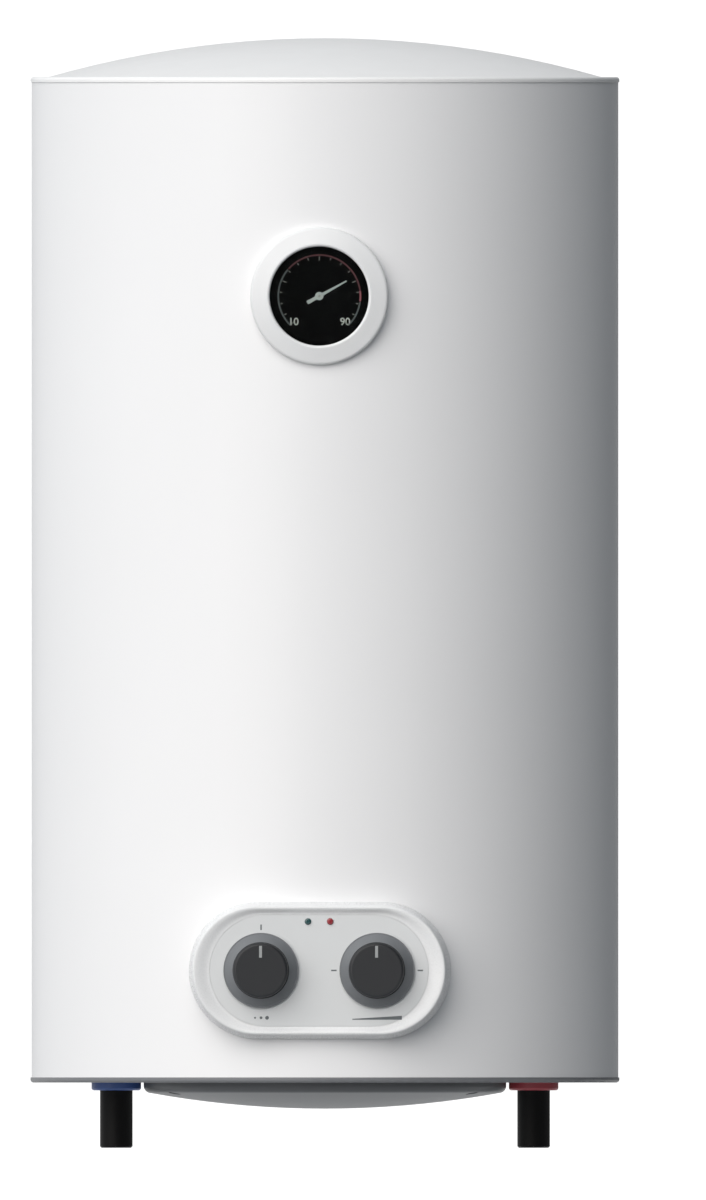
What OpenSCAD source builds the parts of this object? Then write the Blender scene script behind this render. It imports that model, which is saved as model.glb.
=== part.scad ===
// Wall-hung electric storage water heater, about 80 litres.
// Modelled about the tank axis with the casing's lower edge at z = 0 and the front towards -Y,
// then placed so that the origin is the middle of the upper hook slots on the wall plane.

/* [Casing] */
// Outside diameter of the sheet steel casing
casing_d = 450; // [440:1:500]
// Height of the sheet steel casing
casing_h = 763; // [700:1:900]
// Thickness of the casing sheet
sheet_t = 0.8; // [0.6:0.1:1.2]
// Width of the folded seam down the back
seam_w = 10; // [6:1:16]
// Thickness of the folded seam
seam_t = 0.8; // [0.8:0.1:1.4]

/* [End caps] */
// Wall of the moulded end caps
cap_wall = 2.5; // [2:0.1:3]
// Thickness of the flat lip that closes the casing's edge
cap_lip_h = 4; // [2.5:0.1:5]
// How far the lip stands out past the casing
cap_lip_over = 0.8; // [0.6:0.1:3]
// Width of the flat lip, from its outer edge to the dome
cap_lip_w = 13.8; // [12:0.1:25]
// Rounding of the lip's outer edge
cap_lip_round = 2.4; // [0.5:0.1:2.4]
// Depth of the skirt inside the casing
cap_skirt_h = 16; // [10:1:22]
// Gap between the skirt and the casing
cap_fit = 0.3; // [0.2:0.05:0.6]
// Height of the top dome above the casing's edge
top_rise = 33.8; // [24:0.1:45]

/* [Service cover] */
// Diameter of the domed cover under the wiring space
cover_d = 278; // [262:1:279]
// Height of the cover's side wall
cover_edge = 7; // [6:0.1:10]
// Rounding between the cover's side wall and its dome
cover_round = 5.5; // [3.5:0.1:5.5]
// Depth of the cover below the bottom cap
cover_depth = 20; // [16:0.5:28]
// Width of the cover's flange against the bottom cap
cover_flange_w = 15; // [14:0.5:20]
// Number of screws that hold the cover
cover_screw_count = 3; // [2:1:6]
// Thread diameter of the cover screws
cover_screw_d = 3.8; // [3:0.1:4]

/* [Tank] */
// Thickness of the insulation between the casing and the tank
foam_t = 24.2; // [22.2:0.1:28.2]
// Thickness of the tank steel
tank_t = 1.8; // [1.5:0.1:2.5]
// Height of each dished end
dish_h = 45; // [40:1:50]
// Space under the tank, from the casing's lower edge
tank_under = 85; // [82:1:95]
// Space over the tank, up to the casing's upper edge
tank_over = 10; // [8:1:30]
// Height above the casing's lower edge at which the foam starts
foam_start = 152; // [150:1:165]

/* [Flange] */
// Bore of the neck welded under the tank
neck_bore_d = 100; // [96:1:108]
// Width of the neck's ring
neck_w = 16; // [15:0.5:18]
// Height of the neck under the tank
neck_h = 14; // [12:1:16]
// Thickness of the flange gasket
gasket_t = 2; // [1.5:0.1:3]
// Thickness of the flange plate
flange_t = 5; // [4:0.5:6]
// Number of flange bolts
flange_bolt_count = 6; // [4:1:6]
// Thread diameter of the flange bolts
flange_bolt_d = 8; // [6:0.5:8]

/* [Heating] */
// Diameter of the element tube
element_d = 8; // [6:0.5:9]
// Distance between the two legs of an element
element_pitch = 30; // [24:1:32]
// Distance of each element from the middle of the flange
element_offset = 20; // [20:1:24]
// Length of the main element inside the tank
main_element_h = 300; // [200:10:400]
// Length of the boost element inside the tank
boost_element_h = 240; // [150:10:400]
// Diameter of the sacrificial anode
anode_d = 21; // [16:1:22]
// Length of the sacrificial anode
anode_h = 350; // [200:10:450]
// Distance of the anode from the middle of the flange
anode_offset = 28; // [27:1:30]
// Diameter of the stud that carries the anode
anode_stud_d = 8; // [6:0.5:8]
// Outside diameter of the sensor pockets
well_d = 10; // [9:0.5:11]
// Wall of the sensor pockets
well_t = 1; // [0.8:0.1:1.2]
// Length of the sensor pockets inside the tank
well_h = 280; // [220:10:350]
// Distance of the cut-out's pocket from the middle of the flange
cutout_offset = 28; // [26:1:30]
// Distance of the thermostat's pocket from the middle of the flange
bulb_offset = 36; // [34:1:38]

/* [Water connections] */
// Distance between the two connections
pipe_pitch = 320; // [319:1:350]
// Outside diameter of the half inch pipe thread
pipe_d = 20.955; // [19:0.005:21]
// Bore of the steel connections
pipe_bore = 15; // [14.5:0.1:16]
// Outside diameter of the insulating sleeves
sleeve_d = 25; // [24.5:0.1:28]
// How far the sleeves reach below the casing's edge
sleeve_drop = 54; // [46:0.5:70]
// Bore of the half inch socket at the sleeve's lower end
socket_d = 18.631; // [17:0.001:19]
// Depth of that socket
socket_depth = 18; // [12:0.5:18]
// Thickness of the sealing washers
washer_t = 2; // [1.5:0.1:3]
// Diameter of the coloured collars
collar_d = 38; // [34:0.5:39]
// Height of the coloured collars
collar_h = 6; // [4:0.5:8]

/* [Wall brackets] */
// Gap between the casing and the wall
wall_gap = 22; // [18:1:40]
// Thickness of the bracket steel
bracket_t = 3; // [2:0.5:4]
// Width of a bracket's flat back
bracket_w = 220; // [200:2:240]
// Height of a bracket
bracket_h = 60; // [56:1:80]
// Height of the upper bracket's middle
upper_bracket_z = 640; // [560:5:700]
// Height of the lower bracket's middle
lower_bracket_z = 200; // [190:5:300]
// Distance between the two hook slots
hook_pitch = 140; // [100:2:150]
// Width of a hook slot
slot_w = 11; // [9:0.5:14]
// Length of a hook slot
slot_len = 30; // [20:1:40]
// Diameter of the lower bracket's fixing holes
lower_hole_d = 9; // [7:0.5:12]
// Length of the feet that follow the casing
bracket_foot = 32; // [28:1:40]
// Thread diameter of the bracket bolts
bracket_bolt_d = 8; // [6:0.5:8]
// Height between the two bolts of a foot
bracket_bolt_pitch = 32; // [26:1:36]

/* [Thermometer] */
// Height of the dial's middle above the casing's lower edge
thermo_z = 599; // [300:1:660]
// Diameter of the dial that shows
dial_d = 76; // [60:1:80]
// Diameter of the bezel
bezel_d = 106; // [98:1:116]
// How far the bezel stands out from the casing
bezel_proud = 8; // [7:0.5:20]
// Fall of the bezel's face from its crest to its outer edge
bezel_fall = 2.5; // [1:0.1:4]
// Thickness of the glass
glass_t = 2; // [1.5:0.1:3]
// Depth of the bezel's edge in front of the glass
glass_set = 3; // [2.5:0.1:5]
// Gap between the glass and the dial
dial_gap = 4.5; // [4:0.1:6]
// Thickness of the dial plate
dial_t = 0.8; // [0.6:0.1:1.2]
// Wall of the thermometer's case
case_wall = 1.6; // [1.2:0.1:2]
// Distance between the case and the tank
stem_h = 7; // [5:0.5:8]
// Diameter of the stem that carries heat from the tank
stem_d = 8; // [6:0.5:12]
// Length of the pointer from its pivot to its tip
pointer_len = 24; // [18:0.5:28]
// Length of the pointer's tail
pointer_tail = 10.5; // [6:0.5:12]
// Angle of the pointer to the right of upright
pointer_angle = 61; // [-130:1:130]
// Diameter of the pointer's arbor
arbor_d = 2; // [1.6:0.1:2.4]

/* [Control panel] */
// Height of the panel's middle above the casing's lower edge
panel_z = 82; // [80:1:86]
// Width of the panel between the crests of its rim
panel_w = 192; // [186:0.1:196]
// Height of the panel between the crests of its rim
panel_h = 96; // [94:0.5:97]
// Width of the rounded flank outside the crest
panel_flank = 4.5; // [4:0.5:9]
// How far the crest stands out from the casing
panel_proud = 13; // [12.5:0.5:18]
// Depth of the fascia below the crest
fascia_drop = 2.6; // [2:0.1:5]
// Width of the slope inside the crest, above and below the fascia
dish_side = 5; // [4:0.1:5]
// Width of the slope inside the crest, at the two ends
dish_end = 12; // [8:0.5:14]
// Thickness of the fascia
fascia_t = 2.5; // [2:0.1:3]
// Wall of the panel's rim
panel_wall = 2.6; // [2.2:0.1:3]
// Width of the opening in the casing behind the panel
opening_w = 160; // [158:1:162]
// Height of the opening in the casing behind the panel
opening_h = 86; // [85:0.5:87]
// Height of the steel chassis behind the panel
chassis_h = 100; // [98:1:104]
// Thickness of the steel chassis
chassis_t = 2; // [1.5:0.1:2.5]
// Thread diameter of the chassis screws
chassis_screw_d = 3; // [2.5:0.1:3.5]

/* [Lamps] */
// Distance between the two lamps
lamp_pitch = 17; // [12:0.5:22]
// Height of the lamps above the panel's middle
lamp_rise = 37.5; // [36:0.1:37.8]
// Diameter of a lamp's lens
lamp_d = 5; // [4:0.1:6.5]
// How far a lens stands out from the fascia
lamp_proud = 1.6; // [1:0.1:3]

/* [Knobs] */
// Distance between the two knobs
knob_pitch = 89; // [84:1:92]
// Diameter of a knob's skirt
skirt_d = 57.6; // [52:0.1:60]
// Diameter of a knob's cap
knob_cap_d = 42; // [36:0.1:46]
// Height of a knob
knob_h = 20; // [19:0.5:26]
// Height of a knob's sloping skirt
skirt_h = 8.5; // [6:0.5:10]
// Wall of a knob
knob_wall = 2; // [1.6:0.1:2.4]
// Rounding of a knob's front edge
knob_round = 2.2; // [1:0.1:3]
// Gap between a knob and the fascia
knob_gap = 0.5; // [0.4:0.1:1]
// Diameter of the control shafts
shaft_d = 6; // [5:0.1:6.4]
// Height of the flat cut along a shaft
shaft_flat = 1.5; // [1:0.1:2]
// Length of the white mark on a knob
mark_len = 9; // [5:0.5:11]
// Width of the white mark on a knob
mark_w = 2.2; // [1.5:0.1:3]

/* [Cable entry] */
// Bore of the cable gland
gland_bore = 9; // [6:0.5:10]
// Thread diameter of the cable gland
gland_d = 16; // [14:0.5:18]

/* [Hidden] */
$fn = 96;
ball_fn = 240;

// Clearances: over-run of a cut, curved seat, close fit, running room, open room
over = 1;
seat = 0.1;
slip = 0.05;
room = 0.3;
loose = 0.5;

// Half width across the corners of a hexagon, for each millimetre of thread
hex_share = 0.92;

// Casing
casing_r = casing_d / 2;
casing_ri = casing_r - sheet_t;
skirt_ro = casing_ri - cap_fit;
skirt_ri = skirt_ro - cap_wall;
lip_r = casing_r + cap_lip_over;
dome_r = lip_r - cap_lip_w;
dome_rise = top_rise - cap_lip_h;
dome_ball_r = (dome_r * dome_r + dome_rise * dome_rise) / (2 * dome_rise);

// Service cover
cover_r = cover_d / 2;
cover_lap = 2;
cover_open_r = cover_r - cover_flange_w - cover_lap;
cover_sag = cover_depth - cover_edge;
cover_ball_r = (cover_r * cover_r + cover_sag * cover_sag) / (2 * cover_sag);
cover_low = -cap_lip_h - cover_depth;
cover_ball_z = cover_low + cover_ball_r;
cover_corner_r = cover_r - cover_round;
cover_corner_far = cover_ball_r - cover_round;
cover_corner_z = cover_ball_z - sqrt(pow(cover_corner_far, 2) - pow(cover_corner_r, 2));
cover_screw_pcr = cover_r - cover_flange_w / 2;
cover_boss_wall = 3.6;
cover_boss_r = cover_screw_d / 2 + cover_boss_wall;
cover_pilot_h = 9;
cover_head_t = 2.8;
cover_head_lap = 2.2;
cover_head_r = cover_screw_d / 2 + cover_head_lap;
cover_seat_in = 4;
cover_seat_z = -cap_lip_h - cover_seat_in;

// Tank
tank_r = casing_ri - foam_t;
shell_z0 = tank_under + dish_h;
shell_z1 = casing_h - tank_over - dish_h;
dish_ball_r = (tank_r * tank_r + dish_h * dish_h) / (2 * dish_h);
lower_ball_z = tank_under + dish_ball_r;
upper_ball_z = casing_h - tank_over - dish_ball_r;

// Flange
neck_ri = neck_bore_d / 2;
neck_ro = neck_ri + neck_w;
neck_z0 = tank_under - neck_h;
gasket_z0 = neck_z0 - gasket_t;
flange_z0 = gasket_z0 - flange_t;
bolt_circle_r = neck_ri + neck_w / 2;
bolt_start = 30;
bolt_head_t = 5.5;
bolt_grip = 12;

// Heating
pin_h = 22;
pin_r = 1.8;
element_stub = 8;
anode_lift = 12;
anode_z0 = neck_z0 + anode_lift;
anode_nut_t = 7;
anode_tail = 3;
cutout_box = [36, 26, 34];
cutout_gap = 2.5;
cutout_rod_d = 6;
cutout_rod_h = 240;
cutout_z1 = flange_z0 - cutout_gap;
cutout_rod_z1 = min(cutout_z1 + cutout_rod_h, gasket_z0 + well_h - 2 * well_t);
well_stub = 2;
button_d = 6;
button_h = 10;
button_show = 4;
button_room = 3;

// Water connections
pipe_x = pipe_pitch / 2;
sleeve_web = 3;
nipple_z0 = -sleeve_drop + socket_depth + sleeve_web + washer_t;
dish_z_at_pipe = lower_ball_z - sqrt(pow(dish_ball_r - tank_t, 2) - pipe_x * pipe_x);
nipple_in = 18;
nipple_z1 = dish_z_at_pipe + nipple_in;
sleeve_z1 = -cap_lip_h - 1;
sleeve_edge = 1.2;
collar_round = 2;
standpipe_t = 1;
standpipe_z0 = 60;
dish_top_at_pipe = upper_ball_z + sqrt(pow(dish_ball_r - tank_t, 2) - pow(pipe_x + pipe_bore, 2));
standpipe_gap = 6;
standpipe_z1 = dish_top_at_pipe - standpipe_gap;
diffuser_wall = 3.5;
diffuser_grip = 7;
diffuser_h = 12;
diffuser_r = pipe_d / 2 + diffuser_wall;
diffuser_z0 = nipple_z1 - diffuser_grip;
diffuser_z1 = nipple_z1 + diffuser_h;
diffuser_top = 2;
diffuser_slot = [2 * diffuser_r + 2 * over, 3, 6];

// Wall brackets
wall_y = casing_r + wall_gap;
foot_ri = casing_r + seat;
foot_ro = foot_ri + bracket_t;
foot_a0 = asin((bracket_w / 2 - bracket_t) / foot_ri);
foot_a1 = foot_a0 + bracket_foot / foot_ri * 180 / PI;
foot_mid = (asin(bracket_w / 2 / foot_ri) + foot_a1) / 2;
bracket_bend = 6;
backing_t = 3;
backing_w = 30;
backing_edge = 10;
backing_h = bracket_bolt_pitch + 2 * backing_edge;
backing_ro = casing_ri - seat;
backing_z0 = sqrt(pow(backing_ro - backing_t, 2) - pow(backing_w / 2, 2));
bracket_bolt_in = 12;
bracket_head_t = 5;

// Thermometer
glass_z1 = casing_r + bezel_proud - glass_set;
glass_z0 = glass_z1 - glass_t;
dial_z1 = glass_z0 - dial_gap;
dial_z0 = dial_z1 - dial_t;
glass_lap = 1.2;
glass_r = dial_d / 2 + glass_lap;
case_r = glass_r + slip;
case_z0 = tank_r + stem_h;
case_floor = 2;
shelf_w = 2;
pointer_lift = 1.6;
pointer_z0 = dial_z1 + pointer_lift;
pointer_t = 0.8;
pointer_w0 = 3;
pointer_w1 = 1;
pointer_hub_d = 6.4;
arbor_seat = 0.6;
arbor_z0 = case_z0 + arbor_seat + room;
arbor_z1 = pointer_z0 + pointer_t + loose;
bezel_crest_round = 1.8;
bezel_edge_round = 3;
coil_lift = 3;
coil_z0 = case_z0 + case_floor + coil_lift;
coil_h = 6;
coil_turns = 4;
coil_t = 0.6;
coil_r0 = arbor_d / 2 + room;
coil_r1 = 14;
coil_steps = 20;
coil_post_r = 1.6;

// Control panel
crest_r = panel_h / 2;
crest_a = panel_w / 2 - crest_r;
inner_r = crest_r - dish_side;
inner_a = panel_w / 2 - dish_end - inner_r;
crest_z = casing_r + panel_proud;
fascia_z1 = crest_z - fascia_drop;
fascia_z0 = fascia_z1 - fascia_t;
ledge_w = 1.5;
ledge_t = 2;
fascia_fit = 0.15;
opening_round = 12;
chassis_in = 1;
chassis_w = opening_w - 2 * chassis_in;
chassis_z1 = sqrt(casing_ri * casing_ri - pow(chassis_w / 2, 2)) - seat;
chassis_z0 = chassis_z1 - chassis_t;
chassis_round = 4;
boss_wall = 2.5;
boss_r = chassis_screw_d / 2 + boss_wall;
boss_from_knob = 28.5;
boss_from_edge = 13;
boss_from_lamp = 13.5;
boss_side = knob_pitch / 2 + boss_from_knob;
boss_low = -opening_h / 2 + boss_from_edge;
boss_high = lamp_rise - boss_from_lamp;
boss_points = [[boss_side, 0], [-boss_side, 0], [0, boss_low], [0, boss_high]];
screw_grip = 10;
screw_head_t = 2;

// Steps of the rim's loft: round each end, along each side, down the flank and down the inner slope
rim_arc_steps = 32;
rim_side_steps = 8;
flank_steps = 8;
slope_steps = 6;

// Controls
switch_box = [40, 40, 24];
thermostat_box = [42, 36, 26];
capsule_r = 16;
capsule_t = 5;
bush_wall = 2;
bush_d = shaft_d + 2 * bush_wall;
bush_h = 6;
shaft_in = 14;
tab = [6.3, 0.8, 8];
switch_tabs = [[-8, 8], [8, 8], [-8, -8], [8, -8]];
thermostat_tabs = [[-17, 13], [17, 13], [-17, -13]];
switch_back = chassis_z0 - switch_box[2];
thermostat_back = chassis_z0 - thermostat_box[2];
lens_round = lamp_proud * 0.8;
lamp_body_r = 3.6;
lamp_body_h = 15;

// Knobs
knob_x = knob_pitch / 2;
knob_z0 = fascia_z1 + knob_gap;
knob_front = 6;
knob_bore_h = knob_h - knob_front;
shaft_flat_h = knob_gap + knob_bore_h - slip;
hub_wall = 2.4;
hub_r = shaft_d / 2 + hub_wall;
mark_t = 0.8;
mark_r1 = knob_cap_d / 2 - knob_round;
skirt_edge_h = 2.4;
skirt_step = 1;
cap_fillet = 0.8;

// Cable entry and terminal block
gland_at = [60, 165];
gland_z1 = -cap_lip_h;
gland_flange_h = 5;
gland_dome_h = 11;
gland_dome_round = 4;
gland_z0 = gland_z1 - gland_flange_h - gland_dome_h;
gland_seal_h = 15;
gland_in = 9;
gland_nut_t = 5;
gland_hex_r = gland_d * 0.72;
gland_dome_r = gland_d * 0.6;
block_box = [50, 20, 22];
block_y = 165;
block_pitch = 10;
block_screw_r = 2.4;
block_screw_h = 8;

// Routes of the inner tubes and wires, in the tank's frame
wire_r = 1.3;
capillary_r = 1;
bulb_d = 6;
bulb_h = 110;
// Straight lead of a wire out of its terminal
lead = 16;
block_wire_z = 14;
cutout_wire_z = 44;

function switch_tab(i, gap) =
    [-knob_x + switch_tabs[i][0], -switch_back + tab[2] + gap, panel_z + switch_tabs[i][1]];
function thermostat_tab(i, gap) =
    [knob_x + thermostat_tabs[i][0], -thermostat_back + tab[2] + gap, panel_z + thermostat_tabs[i][1]];
function block_way(i, gap) = [i * block_pitch, block_y - block_box[1] / 2 - gap, block_wire_z];
function boost_pin(gap) = [-element_pitch / 2, -element_offset, flange_z0 - pin_h - gap];
function cutout_side(gap) = [cutout_offset + cutout_box[0] / 2 + gap, 0, cutout_wire_z];
function capsule_back(gap) = [knob_x, -thermostat_back + capsule_t + gap, panel_z];

capillary_route = [
    capsule_back(0), capsule_back(lead), [40, -130, panel_z - 16], [25, -90, 50],
    [8, -58, 45], [0, -bulb_offset - 2, 48], [0, -bulb_offset, 58], [0, -bulb_offset, neck_z0]
];
wire_routes = [
    [
        block_way(-2, 0), block_way(-2, lead), [-70, 60, 20], [-95, 0, 25], [-95, -80, 40],
        [-72, -140, panel_z - 12], switch_tab(0, lead), switch_tab(0, 0)
    ],
    [
        block_way(2, 0), block_way(2, lead), [80, 60, 20], [95, 0, 25], [95, -80, 40],
        [84, -140, panel_z - 4], thermostat_tab(1, lead), thermostat_tab(1, 0)
    ],
    [
        switch_tab(3, 0), switch_tab(3, lead), [0, -146, panel_z - 20],
        thermostat_tab(2, lead), thermostat_tab(2, 0)
    ],
    [
        switch_tab(2, 0), switch_tab(2, lead), [-52, -100, 38], [-32, -44, 22], boost_pin(lead), boost_pin(0)
    ],
    [
        cutout_side(0), cutout_side(lead), [54, 50, 24], [20, 100, 18], block_way(0, lead), block_way(0, 0)
    ]
];

// Shared shapes

// Moves the tank's frame so that the origin lies between the hook slots, on the wall
module place() {
    translate([0, -wall_y, -upper_bracket_z]) children();
}

// Turns a shape drawn in the picture plane to face the front, at a height and offset
module on_front(z, x = 0) {
    translate([x, 0, z]) rotate([90, 0, 0]) children();
}

// Turns a shape to point out of the back, at an angle from the middle and a height
module on_back(angle, z) {
    rotate([0, 0, -angle]) translate([0, 0, z]) rotate([-90, 0, 0]) children();
}

module rod(r, z0, z1) {
    translate([0, 0, z0]) cylinder(r = r, h = z1 - z0);
}

module tube(ro, ri, z0, z1) {
    difference() {
        rod(ro, z0, z1);
        rod(ri, z0 - over, z1 + over);
    }
}

module block(size, z0) {
    translate([-size[0] / 2, -size[1] / 2, z0]) cube(size);
}

// Head or nut that fits a thread of diameter d
module hexagon(d, z0, z1) {
    translate([0, 0, z0]) cylinder(r = d * hex_share, h = z1 - z0, $fn = 6);
}

module ring_of(count, r, start) {
    for (i = [0:count - 1]) {
        rotate([0, 0, start + i * 360 / count]) translate([r, 0, 0]) children();
    }
}

// Rectangle with round ends: a is the half length between the end centres, r the end radius
module stadium(a, r) {
    square([2 * a, 2 * r], center = true);
    for (s = [-1, 1]) translate([s * a, 0]) circle(r = r);
}

// Rectangle with round corners
module round_box(w, h, r) {
    square([w - 2 * r, h], center = true);
    square([w, h - 2 * r], center = true);
    for (sx = [-1, 1], sy = [-1, 1]) translate([sx * (w / 2 - r), sy * (h / 2 - r)]) circle(r = r);
}

// Half profile of a disc from r0 to r1, with its outer upper edge rounded
module edge_profile(r0, r1, z0, z1, round) {
    translate([r0, z0]) square([r1 - r0, z1 - z0 - round]);
    translate([r0, z0]) square([r1 - r0 - round, z1 - z0]);
    intersection() {
        translate([r1 - round, z1 - round]) circle(r = round);
        translate([r0, z0]) square([r1 - r0 + over, z1 - z0 + over]);
    }
}

// Tubes that follow a smooth curve through hand-chosen points

function unit(v) = v / norm(v);

// Point at share t between b and c on the smooth curve through a, b, c and d
function curve_point(a, b, c, d, t) =
    0.5 * (2 * b + (c - a) * t + (2 * a - 5 * b + 4 * c - d) * t * t + (3 * b - a - 3 * c + d) * t * t * t);

function curve(p, steps) = [
    for (i = [0:len(p) - 2], k = [0:steps - 1])
        curve_point(p[max(i - 1, 0)], p[i], p[i + 1], p[min(i + 2, len(p) - 1)], k / steps),
    p[len(p) - 1]
];

// Direction of the curve p at its point i, square to its seat at both ends of the route
function heading(p, i, route) =
    i == 0 ? unit(route[1] - route[0])
    : i == len(p) - 1 ? unit(route[len(route) - 1] - route[len(route) - 2])
    : unit(p[i + 1] - p[i - 1]);

// Side direction that stays square to the heading and never lines up with these routes
function side(t) = unit(cross(t, [0.83, 0.21, -0.52]));

module swept_tube(route, r, steps = 3, sides = 8) {
    path = curve(route, steps);
    n = len(path);
    points = [
        for (i = [0:n - 1], k = [0:sides - 1])
            let (t = heading(path, i, route), u = side(t), v = cross(t, u), a = 360 * k / sides)
                path[i] + r * (cos(a) * u + sin(a) * v)
    ];
    walls = [
        for (i = [0:n - 2], k = [0:sides - 1])
            let (a = i * sides + k, b = i * sides + (k + 1) % sides)
                each [[a, a + sides, b], [b, a + sides, b + sides]]
    ];
    ends = [
        [for (k = [0:sides - 1]) k],
        [for (k = [sides - 1:-1:0]) (n - 1) * sides + k]
    ];
    polyhedron(points, concat(walls, ends));
}

// Casing and caps

module thermometer_cut(r, depth_z) {
    on_front(thermo_z) rod(r, depth_z, casing_r + over);
}

module bracket_bolt_axes() {
    for (z = [upper_bracket_z, lower_bracket_z], s = [-1, 1], k = [-1, 1]) {
        on_back(s * foot_mid, z + k * bracket_bolt_pitch / 2) children();
    }
}

module outer_casing() {
    color("white") difference() {
        union() {
            tube(casing_r, casing_ri, 0, casing_h);
            intersection() {
                tube(casing_r + seam_t, casing_r - sheet_t / 2, 0, casing_h);
                translate([-seam_w / 2, 0, 0]) cube([seam_w, casing_d, casing_h]);
            }
        }
        thermometer_cut(case_r + loose, casing_r / 2);
        on_front(panel_z) translate([0, 0, casing_r / 2]) linear_extrude(casing_r) {
            round_box(opening_w, opening_h, opening_round);
        }
        bracket_bolt_axes() rod(bracket_bolt_d / 2 + seat, casing_r / 2, casing_r + over);
    }
}

module top_cap() {
    color("white") translate([0, 0, casing_h]) rotate_extrude() {
        intersection() {
            translate([0, top_rise - dome_ball_r]) difference() {
                circle(r = dome_ball_r, $fn = ball_fn);
                circle(r = dome_ball_r - cap_wall, $fn = ball_fn);
            }
            square([dome_r + cap_wall, top_rise + over]);
        }
        difference() {
            edge_profile(dome_r - 2 * cap_wall, lip_r, 0, cap_lip_h, cap_lip_round);
            translate([0, top_rise - dome_ball_r]) circle(r = dome_ball_r - cap_wall, $fn = ball_fn);
        }
        translate([skirt_ri, -cap_skirt_h]) square([cap_wall, cap_skirt_h + cap_lip_h / 2]);
    }
}

module cover_screw_places() {
    ring_of(cover_screw_count, cover_screw_pcr, 90) children();
}

module bottom_cap() {
    color("whitesmoke") difference() {
        union() {
            rotate_extrude() {
                mirror([0, 1]) edge_profile(cover_open_r, lip_r, 0, cap_lip_h, cap_lip_round);
                translate([skirt_ri, -cap_lip_h / 2]) square([cap_wall, cap_skirt_h + cap_lip_h / 2]);
                translate([cover_open_r, -cap_lip_h / 2]) square([cap_wall, cover_pilot_h + cap_lip_h / 2]);
            }
            cover_screw_places() rod(cover_boss_r, -cap_lip_h / 2, cover_pilot_h);
        }
        for (s = [-1, 1]) translate([s * pipe_x, 0, 0]) rod(pipe_d / 2 + loose, -cap_lip_h - over, over);
        translate(gland_at) rod(gland_d / 2 + seat, -cap_lip_h - over, over);
        cover_screw_places() rod(cover_screw_d / 2 + seat, -cap_lip_h - over, cover_pilot_h - cap_wall);
    }
}

// Half profile of the cover up to a height: side wall, rounded corner and dome, drawn inwards by a wall
module cover_profile(wall, top) {
    ball_r = cover_ball_r - wall;
    turn_r = cover_corner_r * ball_r / cover_corner_far;
    translate([0, cover_corner_z]) square([cover_r - wall, top - cover_corner_z]);
    intersection() {
        translate([cover_corner_r, cover_corner_z]) circle(r = cover_round - wall);
        translate([0, cover_low - over]) square([cover_r, top - cover_low + over]);
    }
    intersection() {
        translate([0, cover_ball_z]) circle(r = ball_r, $fn = ball_fn);
        translate([0, cover_low - over]) square([turn_r, top - cover_low + over]);
    }
}

module service_cover() {
    color("gray") difference() {
        union() {
            rotate_extrude() difference() {
                cover_profile(0, -cap_lip_h);
                cover_profile(cap_wall, over);
            }
            tube(cover_r, cover_r - cover_flange_w, -cap_lip_h - cap_wall, -cap_lip_h);
            intersection() {
                cover_screw_places() rod(cover_boss_r, cover_low, -cap_lip_h);
                translate([0, 0, cover_ball_z]) sphere(r = cover_ball_r - cap_wall / 2, $fn = ball_fn);
            }
        }
        cover_screw_places() {
            rod(cover_screw_d / 2 + seat, cover_low - over, over);
            rod(cover_head_r + loose, cover_low - over, cover_seat_z);
        }
    }
}

module cover_screws() {
    color("silver") cover_screw_places() {
        rod(cover_head_r, cover_seat_z - cover_head_t, cover_seat_z);
        rod(cover_screw_d / 2, cover_seat_z, cover_pilot_h - cap_wall - loose);
    }
}

module insulation_foam() {
    color("khaki") difference() {
        union() {
            rod(casing_ri - seat, foam_start, casing_h - cap_skirt_h - over);
            rod(skirt_ri - loose, foam_start, casing_h - over);
        }
        rod(tank_r + seat, foam_start - over, shell_z1);
        intersection() {
            translate([0, 0, upper_ball_z]) sphere(r = dish_ball_r + seat, $fn = ball_fn);
            rod(tank_r + seat, shell_z1 - over, casing_h);
        }
        thermometer_cut(case_r + loose, case_z0 - seat);
        thermometer_cut(stem_d / 2 + loose, tank_r / 2);
        bracket_bolt_axes() rod(bracket_bolt_d / 2 + loose, casing_r - bracket_bolt_in - loose, casing_r);
        for (z = [upper_bracket_z, lower_bracket_z], s = [-1, 1]) on_back(s * foot_mid, z) {
            block([backing_w + 2 * loose, backing_h + 2 * loose, casing_r], backing_z0 - loose);
        }
    }
}

// Tank

module dished_end(ball_z, keep_z0, keep_z1) {
    intersection() {
        translate([0, 0, ball_z]) difference() {
            sphere(r = dish_ball_r, $fn = ball_fn);
            sphere(r = dish_ball_r - tank_t, $fn = ball_fn);
        }
        rod(tank_r + over, keep_z0, keep_z1);
    }
}

module tank_shell() {
    color("slategray") tube(tank_r, tank_r - tank_t, shell_z0, shell_z1);
}

module tank_top_dish() {
    color("slategray") dished_end(upper_ball_z, shell_z1, casing_h);
}

module tank_bottom_dish() {
    color("slategray") difference() {
        dished_end(lower_ball_z, 0, shell_z0);
        rod(neck_ri, 0, shell_z0);
        for (s = [-1, 1]) translate([s * pipe_x, 0, 0]) rod(pipe_d / 2 + slip, 0, shell_z0 + over);
    }
}

// Flange and what it carries

module flange_holes(r) {
    ring_of(flange_bolt_count, bolt_circle_r, bolt_start) {
        rod(r, flange_z0 - over, neck_z0 + bolt_grip + over);
    }
}

module element_places() {
    for (sx = [-1, 1], sy = [-1, 1]) translate([sx * element_pitch / 2, sy * element_offset, 0]) children();
}

module well_places() {
    translate([cutout_offset, 0, 0]) children();
    translate([0, -bulb_offset, 0]) children();
}

module flange_neck() {
    color("slategray") difference() {
        tube(neck_ro, neck_ri, neck_z0, tank_under + dish_h / 2);
        translate([0, 0, lower_ball_z]) sphere(r = dish_ball_r + slip, $fn = ball_fn);
        flange_holes(flange_bolt_d / 2 + slip);
    }
}

module flange_gasket() {
    color("dimgray") difference() {
        tube(neck_ro, neck_ri, gasket_z0, neck_z0);
        flange_holes(flange_bolt_d / 2 + loose);
    }
}

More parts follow.
